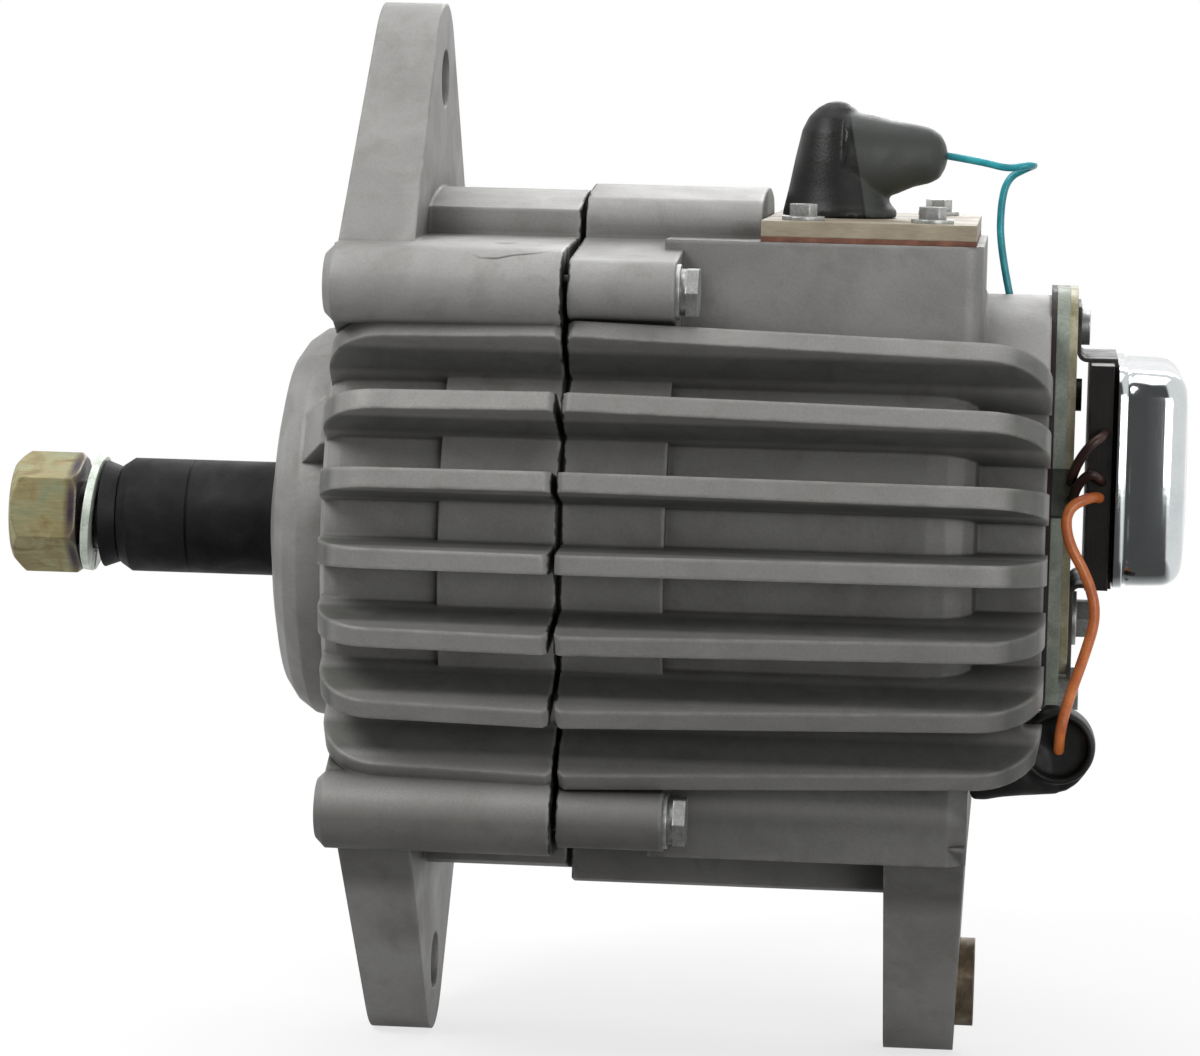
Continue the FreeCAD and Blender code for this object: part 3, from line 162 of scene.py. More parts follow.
LOWER_VOXEL = 0.5 * MM
LOWER_PASSES = 7

# Regulator can, in mm: outline, places along X with the inset from it, then the rounded end
# with its slightly bellied face as distance from the end and inset
CAN_HALF_Y = 33.0
CAN_LOW = -7.0
CAN_HIGH = 42.3
CAN_CORNER = 7.0
CAN_LEAST_CORNER = 3.0
CAN_CROWN = 0.6
CAN_ROUND = 5.0
CAN_DRAFT = 0.7
CAN_END = 205.1
CAN_BELLY_DEEP = 0.8
CAN_BELLY = ((0.62, 7.6), (0.3, 12.0), (0.05, 18.0))
CAN_STEPS = (
    (189.1, 0.35), (189.3, 0.0), (190.9, 0.0), (191.15, 0.2), (191.3, 0.7), (191.8, 0.75),
    (192.2, 0.5), (196.0, 0.55),
)

# Fineness: points in a ring, steps in a rounded corner, angles that stay sharp, how strongly a
# smoothing pass pulls, and samples of the recess and edge nodes
RING_COUNT = 48
CORNER_STEPS = 8
SHARP = math.radians(40)
CAN_SHARP = math.radians(60)
EASE = 0.5
HOLLOW_SAMPLES = 6
BEVEL_SAMPLES = 4

# Where the castings' painted shade changes, in metres: rib flanks and crests by distance from the
# shaft, the ribs and the shaded belly by height. Each pair is a fade
FLANK_IN = (0.0640, 0.0660)
FLANK_OUT = (0.0725, 0.0745)
CREST_IN = (0.0735, 0.0755)
RIBS_LOW = (-0.060, -0.0575)
RIBS_HIGH = (0.044, 0.050)
BELLY_LOW = (-0.080, -0.075)
BELLY_HIGH = (-0.058, -0.053)

# Short fold line in the top boss of the front casting: middle, half length with its fade,
# waviness, and the fade that keeps it on the near side
FOLD_X = 0.0590
FOLD_Z = 0.0652
FOLD_LONG = (0.0040, 0.0090)
FOLD_WAVE = 0.0016
FOLD_SIDE = (-0.05, -0.04)

# Lines, seams, painted light and painted shade on other pieces, in metres
JOINT_X = 0.0705
SLEEVE_SEAM_X = -0.0200
SHAFT_THREAD = (-0.0365, -0.0360)
NUT_BACK = (-0.0485, -0.0470)
NUT_BACK_RIM = (0.0120, 0.0135)
REAR_GASKET = (0.168, 0.170)
NOZZLE_LEAN = 0.19
NOZZLE_SEAM_X = 0.1321
NOZZLE_START = (0.1318, 0.1326)
UPPER_BOOT = (0.071, 0.072)

# Sockets of the colour Mix node
MIX_SHARE, MIX_FIRST, MIX_SECOND, MIX_RESULT = 0, 6, 7, 2

NO_STRETCH = (1, 1, 1)
WHITE = (1, 1, 1)


def camera():
    """Camera with the place, direction and focal length of the photograph."""
    yaw, pitch, roll = (math.radians(a) for a in (CAMERA_YAW, CAMERA_PITCH, CAMERA_ROLL))
    ahead = Vector((
        math.sin(yaw) * math.cos(pitch),
        math.cos(yaw) * math.cos(pitch),
        math.sin(pitch),
    ))
    level = Vector((math.cos(yaw), -math.sin(yaw), 0))
    upright = level.cross(ahead)
    right = level * math.cos(roll) + upright * math.sin(roll)
    up = upright * math.cos(roll) - level * math.sin(roll)
    data = bpy.data.cameras.new("camera")
    data.sensor_width = SENSOR_WIDTH
    data.sensor_fit = "HORIZONTAL"
    data.lens = FOCAL_PX / PHOTO_WIDTH * SENSOR_WIDTH
    obj = bpy.data.objects.new("camera", data)
    bpy.context.scene.collection.objects.link(obj)
    turn = Matrix((right, up, -ahead)).transposed().to_4x4()
    obj.matrix_world = Matrix.Translation(CAMERA_PLACE) @ turn
    bpy.context.scene.camera = obj


def metres(point):
    return tuple(x * MM for x in point)


def lead(name, node, slot, route, diameter):
    """Round lead on one smooth spline along the route, in place of the CAD node."""
    curve = bpy.data.curves.new(name, "CURVE")
    curve.dimensions = "3D"
    curve.bevel_depth = diameter / 2
    curve.bevel_resolution = LEAD_SIDES
    curve.resolution_u = LEAD_STEPS
    curve.use_fill_caps = True
    spline = curve.splines.new("NURBS")
    spline.points.add(len(route) - 1)
    for point, place in zip(spline.points, route):
        point.co = (*metres(place), 1)
    spline.order_u = LEAD_ORDER
    spline.use_endpoint_u = True
    obj = bpy.data.objects.new(name, curve)
    bpy.context.scene.collection.objects.link(obj)
    curve.materials.append(paints[slot].material)
    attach(obj, "housing")
    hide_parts(node)
    return obj


# Smooth moulded and drawn pieces


def oval(centre, across, up, half_across, half_up, power=2.0):
    """Ring of points, squarer as the power rises above 2."""
    ring = []
    for step in range(RING_COUNT):
        turn = 2 * math.pi * step / RING_COUNT
        wide, tall = (
            math.copysign(abs(v) ** (2 / power), v) for v in (math.cos(turn), math.sin(turn))
        )
        side = Vector(across) * wide * half_across
        ring.append(Vector(centre) + side + Vector(up) * tall * half_up)
    return ring


def skin(bm, rings):
    """Closed skin through rings of points, in mm."""
    rows = [[bm.verts.new(point * MM) for point in ring] for ring in rings]
    for low, high in zip(rows, rows[1:]):
        for index, corner in enumerate(low):
            after = (index + 1) % len(low)
            bm.faces.new((corner, low[after], high[after], high[index]))
    bm.faces.new(rows[0][::-1])
    bm.faces.new(rows[-1])


def finish_piece(name, bm, node, slot, sharp=SHARP):
    """Piece on the housing in place of the CAD node, smooth but for its sharp edges."""
    bmesh.ops.recalc_face_normals(bm, faces=bm.faces)
    mesh = bpy.data.meshes.new(name)
    bm.to_mesh(mesh)
    bm.free()
    mesh.shade_smooth()
    mesh.set_sharp_from_angle(angle=sharp)
    obj = bpy.data.objects.new(name, mesh)
    bpy.context.scene.collection.objects.link(obj)
    mesh.materials.append(paints[slot].material)
    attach(obj, "housing")
    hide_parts(node)
    return obj


def melt(obj, voxel, passes):
    """Joins the overlapping skins of a piece into one soft skin."""
    join = obj.modifiers.new("join", "REMESH")
    join.mode = "VOXEL"
    join.voxel_size = voxel
    join.use_smooth_shade = True
    ease = obj.modifiers.new("ease", "SMOOTH")
    ease.factor = EASE
    ease.iterations = passes
    graph = bpy.context.evaluated_depsgraph_get()
    mesh = bpy.data.meshes.new_from_object(obj.evaluated_get(graph), depsgraph=graph)
    obj.modifiers.clear()
    old = obj.data
    obj.data = mesh
    bpy.data.meshes.remove(old)
    mesh.shade_smooth()


def terminal_boot():
    """Rubber boot of the output stud: a bell with a side nozzle."""
    bm = bmesh.new()
    bell = []
    for high, left, right in BOOT_BELL:
        half = (right - left) / 2
        bell.append(oval((left + half, 0, BOOT_FOOT + high), (1, 0, 0), (0, 1, 0), half, half))
    skin(bm, bell)
    nozzle = []
    for along, low, high in BOOT_NOZZLE:
        half = (high - low) / 2
        centre = (along, 0, BOOT_FOOT + low + half)
        wide = half * BOOT_NOZZLE_WIDE
        nozzle.append(oval(centre, (0, 1, 0), (0, 0, 1), wide, half, BOOT_NOZZLE_POWER))
    skin(bm, nozzle)
    obj = finish_piece("terminal_boot_skin", bm, "terminal_boot", "black_rubber")
    melt(obj, BOOT_VOXEL, BOOT_PASSES)


def lower_boot():
    """Rubber boot of the low stud: a bell, a body and a cap with a recess for the lead."""
    bm = bmesh.new()
    x, z = CAP_CENTRE
    skin(bm, [oval((x, y, z), (1, 0, 0), (0, 0, 1), r, r) for y, r in CAP_RINGS])
    for rings, power in ((BODY_RINGS, BODY_POWER), (BELL_RINGS, BELL_POWER)):
        body = []
        for along, low, high, front, back in rings:
            centre = (along, (front + back) / 2, (low + high) / 2)
            wide = (back - front) / 2
            body.append(oval(centre, (0, 1, 0), (0, 0, 1), wide, (high - low) / 2, power))
        skin(bm, body)
    obj = finish_piece("lower_boot_skin", bm, "lower_boot", "black_rubber")
    melt(obj, LOWER_VOXEL, LOWER_PASSES)


def can_ring(along, inset):
    """Rounded rectangle across X with slightly crowned sides."""
    corner = max(CAN_CORNER - 0.5 * inset, CAN_LEAST_CORNER)
    half_y = CAN_HALF_Y - inset
    half_z = (CAN_HIGH - CAN_LOW) / 2 - inset
    middle = (CAN_HIGH + CAN_LOW) / 2
    ring = []
    for quarter in range(4):
        for step in range(CORNER_STEPS + 1):
            turn = math.radians(90 * quarter + 90 / CORNER_STEPS * step)
            side_y = half_y - corner if quarter in (0, 3) else corner - half_y
            side_z = half_z - corner if quarter in (0, 1) else corner - half_z
            y = side_y + corner * math.cos(turn)
            z = side_z + corner * math.sin(turn)
            y -= CAN_CROWN * (z / half_z) ** 2 * abs(math.cos(turn)) * math.copysign(1, y)
            z -= CAN_CROWN * (y / half_y) ** 2 * abs(math.sin(turn)) * math.copysign(1, z)
            ring.append(Vector((along, y, middle + z)))
    return ring


def regulator_can():
    """Drawn can with a flange at its root and a soft rounded end."""
    steps = list(CAN_STEPS)
    start = CAN_END - CAN_BELLY_DEEP - CAN_ROUND
    for step in range(CORNER_STEPS + 1):
        turn = math.radians(90 / CORNER_STEPS * step)
        inset = CAN_DRAFT + CAN_ROUND * (1 - math.cos(turn))
        steps.append((start + CAN_ROUND * math.sin(turn), inset))
    steps += [(CAN_END - back, inset) for back, inset in CAN_BELLY]
    bm = bmesh.new()
    skin(bm, [can_ring(along, inset) for along, inset in steps])
    finish_piece("regulator_can_shell", bm, "regulator_can", "chrome_can", CAN_SHARP)


# Materials


class Graph:
    """Node tree with short calls for its nodes."""

    def __init__(self, tree, place):
        self.tree = tree
        self.place = self.add("ShaderNodeTexCoord").outputs[place]

    def add(self, kind, **values):
        node = self.tree.nodes.new(kind)
        for key, value in values.items():
            setattr(node, key, value)
        return node

    def feed(self, socket, value):
        """Links a socket to the value, or sets the plain value."""
        if isinstance(value, bpy.types.NodeSocket):
            self.tree.links.new(value, socket)
        elif isinstance(value, (tuple, list)) and len(value) == 3 and socket.type == "RGBA":
            socket.default_value = (*value, 1)
        else:
            socket.default_value = value

    def noise(self, size, detail=3.0, warp=0.0, stretch=NO_STRETCH):
        """Noise whose patches are about size metres across."""
        place = self.place
        if tuple(stretch) != NO_STRETCH:
            mapping = self.add("ShaderNodeMapping")
            self.feed(mapping.inputs["Vector"], place)
            self.feed(mapping.inputs["Scale"], tuple(1 / s for s in stretch))
            place = mapping.outputs["Vector"]
        node = self.add("ShaderNodeTexNoise")
        self.feed(node.inputs["Vector"], place)
        self.feed(node.inputs["Scale"], 1 / size)
        self.feed(node.inputs["Detail"], detail)
        self.feed(node.inputs["Distortion"], warp)
        return node.outputs["Fac"]

    def ramp(self, value, stops):
        """Colours, or plain numbers, by position from 0 to 1."""
        node = self.add("ShaderNodeValToRGB")
        points = node.color_ramp.elements
        while len(points) < len(stops):
            points.new(0.5)
        for point, (place, colour) in zip(points, stops):
            point.position = place
            rgb = colour if isinstance(colour, tuple) else (colour,) * 3
            point.color = (*rgb, 1)
        self.feed(node.inputs["Fac"], value)
        return node.outputs["Color"]

    def span(self, value, low, high, to_low=0.0, to_high=1.0):
        """The value's range from low to high, mapped to to_low and to_high."""
        node = self.add("ShaderNodeMapRange")
        sockets = ("From Min", "From Max", "To Min", "To Max")
        for key, number in zip(sockets, (low, high, to_low, to_high)):
            self.feed(node.inputs[key], number)
        self.feed(node.inputs["Value"], value)
        return node.outputs["Result"]

    def calc(self, how, first, second=0.0):
        node = self.add("ShaderNodeMath", operation=how)
        self.feed(node.inputs[0], first)
        self.feed(node.inputs[1], second)
        return node.outputs[0]

    def times(self, first, second):
        return self.calc("MULTIPLY", first, second)

    def plus(self, first, second):
        return self.calc("ADD", first, second)

    def most(self, first, second):
        return self.calc("MAXIMUM", first, second)

    def mix(self, share, first, second, how="MIX"):
        node = self.add("ShaderNodeMix", data_type="RGBA", blend_type=how)
        self.feed(node.inputs[MIX_SHARE], share)
        self.feed(node.inputs[MIX_FIRST], first)
        self.feed(node.inputs[MIX_SECOND], second)
        return node.outputs[MIX_RESULT]

    def hollow(self, distance, inside=False):
        """0 in recesses, or on sharp outer edges when inside, and 1 in the open."""
        node = self.add("ShaderNodeAmbientOcclusion", samples=HOLLOW_SAMPLES, inside=inside,
                        only_local=True)
        self.feed(node.inputs["Distance"], distance)
        return node.outputs["AO"]

    def softened(self, radius):
        """Normal rounded over sharp edges."""
        node = self.add("ShaderNodeBevel", samples=BEVEL_SAMPLES)
        self.feed(node.inputs["Radius"], radius)
        return node.outputs["Normal"]

    def bump(self, height, depth, strength=1.0, normal=None):
        node = self.add("ShaderNodeBump")
        self.feed(node.inputs["Height"], height)
        self.feed(node.inputs["Distance"], depth)
        self.feed(node.inputs["Strength"], strength)
        if normal is not None:
            self.feed(node.inputs["Normal"], normal)
        return node.outputs["Normal"]

    def axis(self, name):
        node = self.add("ShaderNodeSeparateXYZ")
        self.feed(node.inputs[0], self.place)
        return node.outputs[name]

    def length(self, first, second):
        squares = self.plus(self.times(first, first), self.times(second, second))
        return self.calc("SQRT", squares)

    def radius(self):
        """Distance from the shaft axis."""
        return self.length(self.axis("Y"), self.axis("Z"))

    def off(self, value, middle):
        """Distance of the value from middle."""
        return self.calc("ABSOLUTE", self.calc("SUBTRACT", value, middle))

    def band(self, value, rise, fall):
        """1 between the two fades and 0 outside them."""
        return self.times(self.span(value, *rise), self.span(value, *fall, 1.0, 0.0))

    def shine(self, x, y, start):
        """Dim in front of the object, as dark cards beside a camera, and white elsewhere."""
        behind = self.span(y, start, start + CARD_BACK_FADE)
        slanted = self.plus(x, self.times(y, CARD_SLANT))
        beside = self.span(slanted, 0.0, CARD_SIDE_FADE)
        return self.span(self.most(behind, beside), 0.0, 1.0, CARD_SHINE, 1.0)


class Paint(Graph):
    """Node graph of one material."""

    def __init__(self, name):
        self.material = bpy.data.materials.new(name)
        self.material.use_nodes = True
        super().__init__(self.material.node_tree, "Object")
        self.shader = self.tree.nodes["Principled BSDF"]

    def set(self, socket, value):
        self.feed(self.shader.inputs[socket], value)

    def darker(self, share, tint):
        """Mixes the tint into the base colour by the share."""
        colour = self.shader.inputs["Base Color"].links[0].from_socket
        self.set("Base Color", self.mix(share, colour, tint))


def surface(name, tones, patch=0.012, grain=0.0006, grain_share=0.25, rough=(0.4, 0.6),
            metal=0.0, relief=0.00004, soft=0.0005, edge=None, grime=None, stretch=NO_STRETCH,
            **sockets):
    """Material with patchy colour, fine grain, worn edges, painted shade in recesses and a relief.

    Edge is the tint, width and share of the worn edges, and the argument after it the tint,
    distance and share of the painted shade in recesses.
    """
    p = Paint(name)
    patches = p.noise(patch, 4.0, 0.4)
    dark, middle, light = tones
    colour = p.ramp(patches, ((0.3, dark), (0.5, middle), (0.7, light)))
    fine = p.noise(grain, 2.0, 0.0, stretch)
    colour = p.mix(grain_share, colour, p.ramp(fine, ((0.3, 0.25), (0.7, 0.85))), "OVERLAY")
    # Painted shade: the tint is mixed into the recesses that the occlusion node finds.
    if grime:
        tint, distance, share = grime
        hollow_shade = p.span(p.hollow(distance), 0.35, 0.95, share, 0.0)
        colour = p.mix(hollow_shade, colour, tint)
    if edge:
        tint, width, share = edge
        rub = p.noise(width * 6, 3.0)
        worn = p.span(p.hollow(width, True), 0.3, 0.8, share, 0.0)
        colour = p.mix(p.times(worn, p.span(rub, 0.3, 0.6)), colour, tint)
    p.set("Base Color", colour)
    p.set("Roughness", p.span(patches, 0.3, 0.7, rough[1], rough[0]))
    p.set("Metallic", metal)
    for key, value in sockets.items():
        p.set(key.replace("_", " "), value)
    normal = p.softened(soft) if soft else None
    p.set("Normal", p.bump(fine, relief, 1.0, normal))
    return p


def cast_aluminium(name, light):
    """Tumbled die casting, with painted shade on the rib flanks and crests, in the recesses and
    along the belly, and a near-black line at the joint.
    """
    p = Paint(name)
    cloud = p.noise(0.022, 4.0, 0.6)
    colour = p.ramp(cloud, (
        (0.3, (0.215, 0.210, 0.203)),
        (0.5, (0.262, 0.258, 0.250)),
        (0.72, (0.305, 0.302, 0.295)),
    ))
    stain = p.noise(0.008, 4.0, 1.2)
    colour = p.mix(p.span(stain, 0.52, 0.78, 0.0, 0.4), colour, (0.160, 0.148, 0.128))

    # Painted shade on the rib flanks, patchy with the stains.
    flank = p.band(p.radius(), FLANK_IN, FLANK_OUT)
    ribs = p.band(p.axis("Z"), RIBS_LOW, RIBS_HIGH)
    flank_shade = p.times(p.times(flank, ribs), p.span(stain, 0.3, 0.7, 0.75, 0.55))
    colour = p.mix(flank_shade, colour, (0.060, 0.062, 0.054))
    # Painted shade: the rib crests are toned down towards a darker grey.
    crest_shade = p.times(p.span(p.radius(), *CREST_IN, 0.0, 0.5), ribs)
    colour = p.mix(crest_shade, colour, (0.19, 0.187, 0.178))
    # Painted shade along the lower belly of the casting, patchy with the stains.
    belly = p.band(p.axis("Z"), BELLY_LOW, BELLY_HIGH)
    belly_shade = p.times(belly, p.span(stain, 0.3, 0.7, 0.72, 0.55))
    colour = p.mix(belly_shade, colour, (0.078, 0.077, 0.070))

    # Painted shade in the recesses that the occlusion node finds, tinted olive.
    hollow_shade = p.span(p.hollow(0.009), 0.3, 0.88, 0.85, 0.0)
    colour = p.mix(hollow_shade, colour, (0.040, 0.040, 0.034))
    rub = p.noise(0.005, 4.0, 0.3)
    edges = p.span(p.hollow(0.0014, True), 0.25, 0.8, 0.6, 0.0)
    colour = p.mix(p.times(edges, p.span(rub, 0.3, 0.6)), colour, (0.50, 0.49, 0.465))
    grain = p.noise(0.0005, 2.0)
    colour = p.mix(0.14, colour, p.ramp(grain, ((0.3, 0.3), (0.7, 0.75))), "OVERLAY")

    # Near-black wavy line at the joint: dirt and painted shade in the gap between the castings.
    ragged = p.span(p.noise(0.004, 3.0), 0.3, 0.7, 0.0, 0.0009)
    seam = p.calc("SUBTRACT", p.off(p.axis("X"), JOINT_X), ragged)
    colour = p.mix(p.span(seam, 0.0002, 0.0005, 0.95, 0.0), colour, (0.006, 0.006, 0.006))
    wave = p.span(p.noise(0.016, 1.0), 0.3, 0.7, -FOLD_WAVE, FOLD_WAVE)
    fold = p.off(p.plus(p.axis("Z"), wave), FOLD_Z)
    along = p.span(p.off(p.axis("X"), FOLD_X), *FOLD_LONG, 0.85, 0.0)
    near = p.times(along, p.span(p.axis("Y"), *FOLD_SIDE, 1.0, 0.0))
    line = p.times(near, p.span(fold, 0.0001, 0.0003, 1.0, 0.0))
    colour = p.mix(line, colour, (0.05, 0.046, 0.042))
    colour = p.mix(1.0, colour, (light, light, light), "MULTIPLY")

    p.set("Base Color", colour)
    p.set("Metallic", 0.35)
    p.set("Roughness", p.span(cloud, 0.3, 0.7, 0.60, 0.48))
    relief = p.plus(p.noise(0.0011, 2.0), p.times(p.noise(0.008, 3.0), 3.0))
    p.set("Normal", p.bump(relief, 0.00008, 0.6, p.softened(0.0012)))
    return p


def yellow_zinc():
    """Chromate coat from straw yellow to green and rose, with a purple tint and painted shade on
    the nut's back.
    """
    p = Paint("yellow_zinc")
    cloud = p.noise(0.006, 4.0, 1.0)
    colour = p.ramp(cloud, (
        (0.25, (0.17, 0.11, 0.08)),
        (0.38, (0.27, 0.22, 0.10)),
        (0.52, (0.34, 0.30, 0.155)),
        (0.66, (0.33, 0.335, 0.19)),
        (0.8, (0.27, 0.31, 0.22)),
    ))
    streak = p.noise(0.0006, 2.0, 0.0, (6, 1, 1))
    colour = p.mix(0.25, colour, p.ramp(streak, ((0.3, 0.3), (0.7, 0.8))), "OVERLAY")
    # Painted shade with a purple chromate tint on the nut's back, easing off towards the rim.
    back = p.span(p.axis("X"), *NUT_BACK, 0.0, 0.95)
    back = p.times(back, p.span(p.radius(), *NUT_BACK_RIM, 1.0, 0.55))
    purple = p.times(back, p.span(cloud, 0.3, 0.5, 0.8, 1.0))
    colour = p.mix(purple, colour, (0.035, 0.018, 0.045))
    worn = p.span(p.hollow(0.0012, True), 0.3, 0.75, 0.8, 0.0)
    colour = p.mix(worn, colour, (0.55, 0.51, 0.36))
    p.set("Base Color", colour)
    p.set("Metallic", 0.6)
    p.set("Roughness", p.span(cloud, 0.3, 0.7, 0.48, 0.34))
    p.set("Normal", p.bump(streak, 0.00003, 0.7, p.softened(0.0007)))
    return p


def brown_gasket():
    """Brown fibre, near black with painted shade behind the rear cover."""
    tones = ((0.085, 0.030, 0.016), (0.13, 0.048, 0.026), (0.18, 0.075, 0.04))
    p = surface("brown_gasket", tones, 0.004, rough=(0.55, 0.8), stretch=(5, 5, 0.4))
    # Painted shade: the gasket goes near black behind the rear cover.
    p.darker(p.span(p.axis("X"), *REAR_GASKET), (0.018, 0.008, 0.010))
    return p


def black_steel():
    """Blacked steel, with the dark line where the two sleeves meet."""
    tones = ((0.006, 0.006, 0.007), (0.010, 0.010, 0.011), (0.017, 0.017, 0.018))
    p = surface("black_steel", tones, 0.009, rough=(0.5, 0.68), metal=0.1, relief=0.00005,
                Specular_IOR_Level=0.22)
    seam = p.span(p.off(p.axis("X"), SLEEVE_SEAM_X), 0.0002, 0.0005, 1.0, 0.0)
    p.darker(seam, (0.001, 0.001, 0.001))
    return p


def bright_steel():
    """Plated fasteners, with painted shade in recesses and a painted shadow where a bolt crosses
    the joint gap.
    """
    tones = ((0.30, 0.31, 0.30), (0.42, 0.43, 0.42), (0.54, 0.55, 0.54))
    p = surface("bright_steel", tones, 0.003, rough=(0.28, 0.45), metal=0.8,
                edge=((0.75, 0.75, 0.74), 0.0006, 0.8), grime=((0.06, 0.055, 0.04), 0.002, 0.7))
    # Painted shadow: the bolt is near black inside the joint gap.
    joint = p.span(p.off(p.axis("X"), JOINT_X), 0.0010, 0.0014, 1.0, 0.0)
    p.darker(joint, (0.006, 0.006, 0.006))
    return p


def ground_steel():
    """Ground shaft, with painted shade darkening the thread at its nose."""
    tones = (grey(0.34), grey(0.46), grey(0.55))
    p = surface("ground_steel", tones, 0.008, stretch=(0.15, 6, 6), rough=(0.22, 0.38),
                metal=1.0, edge=(grey(0.8), 0.0006, 0.7))
    # Painted shade on the thread at the shaft's nose.
    p.darker(p.span(p.axis("X"), *SHAFT_THREAD, 0.95, 0.0), (0.03, 0.028, 0.026))
    return p


def black_rubber():
    """Moulded rubber, with painted light making the upper boot's nozzle paler and a painted shade
    line in the crease at its root.
    """
    tones = ((0.005, 0.006, 0.005), (0.008, 0.009, 0.008), (0.014, 0.015, 0.013))
    p = surface("black_rubber", tones, 0.008, rough=(0.36, 0.56), relief=0.00005, soft=0.0,
                Specular_IOR_Level=0.28)
    rise = p.calc("SUBTRACT", p.axis("Z"), BOOT_FOOT * MM)
    lean = p.plus(p.axis("X"), p.times(rise, NOZZLE_LEAN))
    upper = p.span(p.axis("Z"), *UPPER_BOOT)
    # Painted light: the nozzle of the upper boot is made paler.
    p.darker(p.times(p.span(lean, *NOZZLE_START, 0.0, 0.75), upper), (0.055, 0.060, 0.056))
    # Painted shade along the crease where the nozzle meets the bell.
    seam = p.span(p.off(lean, NOZZLE_SEAM_X), 0.0001, 0.0005, 0.9, 0.0)
    p.darker(p.times(seam, upper), (0.004, 0.004, 0.004))
    return p


def grey(value):
    return (value, value, value)


# Surfaces without marks of their own, by slot: tones from dark to light, then the settings
PLAIN_SURFACES = {
    "black_seal": ((grey(0.004), grey(0.008), grey(0.014)), dict(rough=(0.6, 0.85))),
    "core_steel": (
        (grey(0.16), grey(0.22), grey(0.30)),
        dict(patch=0.004, stretch=(0.2, 6, 6), rough=(0.4, 0.6), metal=0.85),
    ),
    "copper": (
        ((0.30, 0.09, 0.03), (0.45, 0.15, 0.06), (0.55, 0.22, 0.09)),
        dict(patch=0.003, rough=(0.25, 0.4), metal=0.8, Coat_Weight=0.6),
    ),
    "ring_copper": (
        ((0.50, 0.22, 0.11), (0.62, 0.30, 0.16), (0.70, 0.38, 0.22)),
        dict(patch=0.004, stretch=(0.1, 8, 8), rough=(0.22, 0.36), metal=1.0),
    ),
    "bearing_steel": (
        (grey(0.38), grey(0.5), grey(0.6)),
        dict(patch=0.006, rough=(0.18, 0.32), metal=1.0, edge=(grey(0.85), 0.0005, 0.6)),
    ),
    "pale_washer": (
        ((0.40, 0.47, 0.39), (0.60, 0.66, 0.58), (0.74, 0.78, 0.71)),
        dict(patch=0.004, rough=(0.3, 0.5), metal=0.3, edge=((0.86, 0.88, 0.82), 0.0006, 0.7)),
    ),
    "carbon": (
        (grey(0.012), grey(0.02), grey(0.035)),
        dict(patch=0.002, rough=(0.35, 0.55), metal=0.2),
    ),
    "black_plastic": (
        ((0.004, 0.003, 0.003), (0.007, 0.006, 0.005), (0.013, 0.010, 0.008)),
        dict(patch=0.006, rough=(0.35, 0.55), edge=((0.06, 0.035, 0.03), 0.0005, 0.6),
             Specular_IOR_Level=0.25),
    ),
    "tan_plate": (
        ((0.20, 0.165, 0.115), (0.265, 0.225, 0.16), (0.33, 0.285, 0.21)),
        dict(patch=0.014, rough=(0.45, 0.62), stretch=(4, 4, 0.5), grain_share=0.15,
             edge=((0.42, 0.38, 0.29), 0.0006, 0.7)),
    ),
    "pale_plate": (
        ((0.15, 0.17, 0.14), (0.22, 0.25, 0.21), (0.30, 0.33, 0.28)),
        dict(patch=0.008, rough=(0.5, 0.7), metal=0.05, edge=((0.36, 0.38, 0.33), 0.0006, 0.7),
             Specular_IOR_Level=0.3),
    ),
    "gold_zinc": (
        ((0.17, 0.15, 0.085), (0.27, 0.25, 0.16), (0.36, 0.34, 0.24)),
        dict(patch=0.007, rough=(0.42, 0.6), metal=0.15, edge=((0.48, 0.46, 0.35), 0.0006, 0.8),
             # The gold coat gets painted shade in its recesses.
             grime=((0.03, 0.03, 0.02), 0.003, 0.6), Specular_IOR_Level=0.35),
    ),
    "dark_bracket": (
        ((0.016, 0.012, 0.013), (0.03, 0.026, 0.026), (0.06, 0.054, 0.05)),
        dict(patch=0.006, rough=(0.45, 0.65), metal=0.1, edge=((0.22, 0.21, 0.19), 0.0005, 0.7),
             Specular_IOR_Level=0.3),
    ),
    "chrome_can": (
        ((0.50, 0.53, 0.55), (0.58, 0.61, 0.62), (0.64, 0.67, 0.68)),
        dict(patch=0.02, grain=0.001, grain_share=0.06, rough=(0.08, 0.15), metal=1.0,
             relief=0.000006, soft=0.0),
    ),
    "bronze": (
        ((0.075, 0.055, 0.035), (0.15, 0.115, 0.075), (0.26, 0.21, 0.14)),
        dict(patch=0.004, stretch=(0.4, 6, 6), rough=(0.35, 0.55), metal=0.6,
             edge=((0.5, 0.45, 0.34), 0.0006, 0.7)),
    ),
    "teal_lead": (
        ((0.006, 0.16, 0.20), (0.012, 0.24, 0.29), (0.035, 0.33, 0.38)),
        dict(patch=0.006, grain=0.0004, rough=(0.28, 0.42), relief=0.00001, soft=0.0),
    ),
    "brown_lead": (
        ((0.014, 0.006, 0.005), (0.026, 0.010, 0.008), (0.045, 0.018, 0.013)),
        dict(patch=0.005, grain=0.0004, rough=(0.3, 0.45), relief=0.00001, soft=0.0,
             Specular_IOR_Level=0.35),
    ),
    "orange_lead": (
        ((0.33, 0.075, 0.018), (0.46, 0.12, 0.028), (0.56, 0.175, 0.045)),
        dict(patch=0.006, grain=0.0004, rough=(0.28, 0.42), relief=0.00001, soft=0.0),
    ),
}


def make_paints():
    """One paint per material slot, the rear casting a little darker than the front one."""
    made = {
        "cast_aluminium": cast_aluminium("cast_aluminium", 1.0),
        "cast_aluminium_rear": cast_aluminium("cast_aluminium_rear", 0.86),
    }
    for make in (yellow_zinc, brown_gasket, black_steel, bright_steel, ground_steel, black_rubber):
        made[make.__name__] = make()
    for slot, (tones, settings) in PLAIN_SURFACES.items():
        made[slot] = surface(slot, tones, **settings)
    return made


def dress():
    """Gives each CAD node the material of its slot."""
    for part in frame["record"]["subparts"]:
        slots = nodes[part["node"]].data.materials
        slots.clear()
        slots.append(paints[part["material_slot"]].material)


# Room


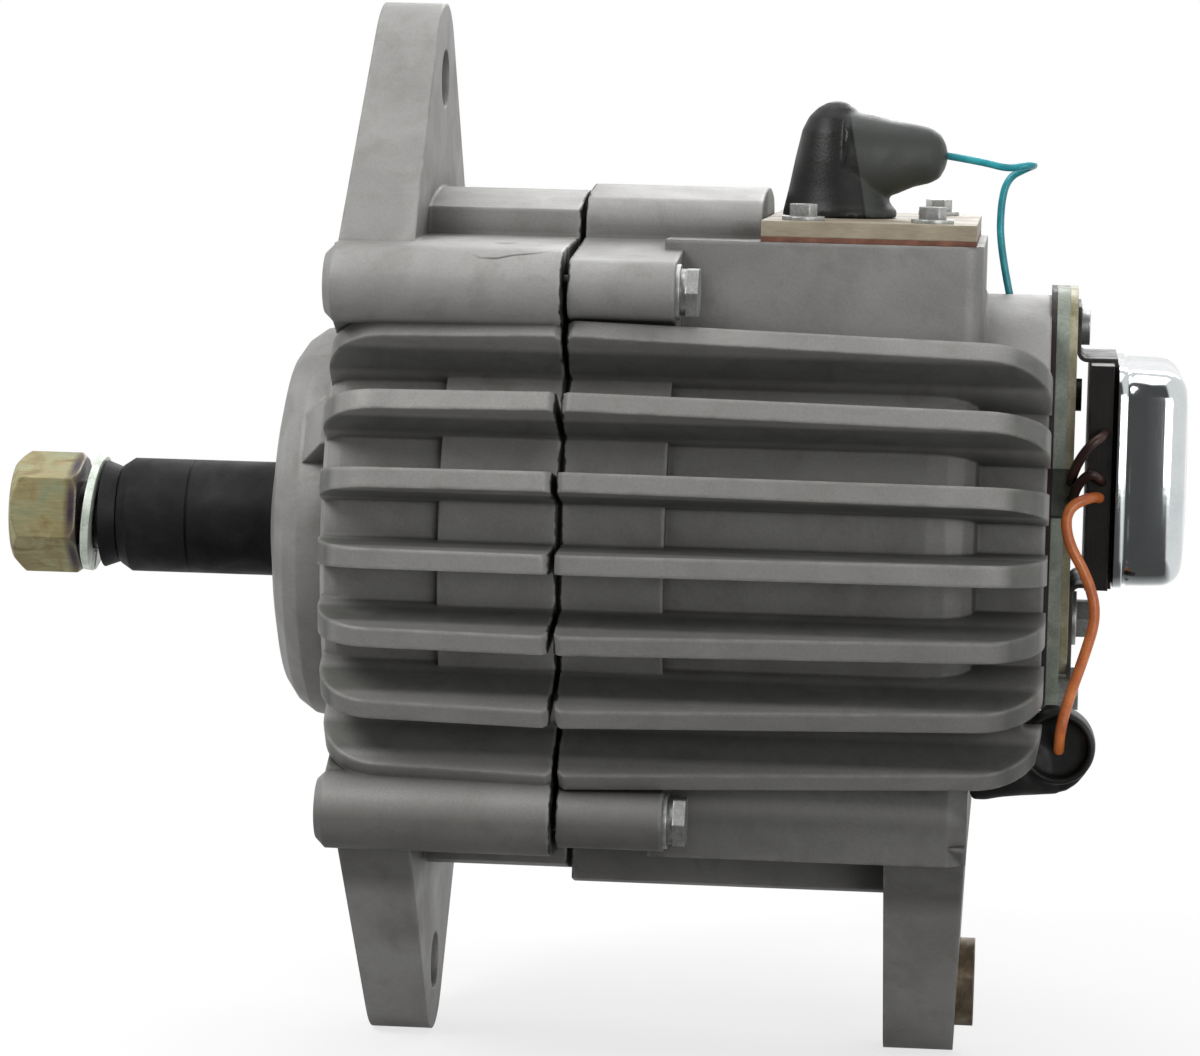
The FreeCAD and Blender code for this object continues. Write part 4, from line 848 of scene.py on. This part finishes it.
def floor():
    """Pale floor that fades to white round the object, with dark cards for reflections."""
    low = cad_box[0][2]
    half = FLOOR_HALF
    corners = [(-half, -half, low), (half, -half, low), (half, half, low), (-half, half, low)]
    mesh = bpy.data.meshes.new("floor")
    mesh.from_pydata(corners, [], [(0, 1, 2, 3)])
    obj = bpy.data.objects.new("floor", mesh)
    bpy.context.scene.collection.objects.link(obj)
    p = Paint("floor_paint")
    speck = p.noise(0.05, 4.0)
    path = p.add("ShaderNodeLightPath").outputs
    pale = p.ramp(speck, ((0.3, 0.80), (0.7, 0.84)))
    bounce = p.times(path["Is Diffuse Ray"], BOUNCE_CUT)
    p.set("Base Color", p.mix(bounce, pale, (0.1, 0.1, 0.1)))
    p.set("Roughness", 0.9)
    clear = p.most(path["Is Camera Ray"], path["Is Transmission Ray"])
    away = p.length(p.calc("SUBTRACT", p.axis("X"), FLOOR_MIDDLE_X), p.axis("Y"))
    white = p.times(clear, p.span(away, *FLOOR_FADE, FLOOR_GLOW, 1.0))
    share = p.most(white, path["Is Glossy Ray"])
    card_x = p.calc("SUBTRACT", p.axis("X"), FLOOR_CARD_X)
    mirrored = p.shine(card_x, p.axis("Y"), FLOOR_CARD_Y)
    glow = p.add("ShaderNodeEmission")
    p.feed(glow.inputs["Strength"], p.most(clear, mirrored))
    blend = p.add("ShaderNodeMixShader")
    p.feed(blend.inputs[0], share)
    p.feed(blend.inputs[1], p.shader.outputs[0])
    p.feed(blend.inputs[2], glow.outputs[0])
    p.feed(p.tree.nodes["Material Output"].inputs[0], blend.outputs[0])
    mesh.materials.append(p.material)


def surroundings():
    """World from dim to bright, white for the camera, with dark cards for reflections."""
    world = bpy.data.worlds.new("world")
    world.use_nodes = True
    bpy.context.scene.world = world
    w = Graph(world.node_tree, "Generated")
    path = w.add("ShaderNodeLightPath").outputs
    mirrored = w.shine(w.axis("X"), w.axis("Y"), WORLD_CARD_Y)
    plain = w.span(w.axis("Z"), 0.0, WORLD_TOP, WORLD_LOW, WORLD_HIGH)
    change = w.calc("SUBTRACT", mirrored, plain)
    light = w.plus(plain, w.times(path["Is Glossy Ray"], change))
    light = w.most(light, w.most(path["Is Camera Ray"], path["Is Transmission Ray"]))
    back = world.node_tree.nodes["Background"]
    w.feed(back.inputs["Strength"], light)
    w.feed(back.inputs["Color"], WHITE)


def lamp(name, place, target, size, power):
    data = bpy.data.lights.new(name, "AREA")
    data.shape = "SQUARE"
    data.size = size
    data.energy = power
    obj = bpy.data.objects.new(name, data)
    bpy.context.scene.collection.objects.link(obj)
    obj.location = place
    aim = Vector(target) - Vector(place)
    obj.rotation_euler = aim.to_track_quat("-Z", "Y").to_euler()


camera()
bpy.context.scene.view_settings.view_transform = "Standard"
paints = make_paints()

sense = lead("sense_cord", "sense_lead", "teal_lead", SENSE_ROUTE, SENSE_D)
regulator = lead("regulator_cord", "regulator_lead", "orange_lead", REGULATOR_ROUTE, REGULATOR_D)
lead("field_cord_high", "field_lead_high", "brown_lead", FIELD_HIGH_ROUTE, FIELD_D)
lead("field_cord_low", "field_lead_low", "brown_lead", FIELD_LOW_ROUTE, FIELD_D)

terminal_boot()
lower_boot()
regulator_can()
dress()
floor()
surroundings()
for name, settings in LAMPS.items():
    lamp(name, *settings)
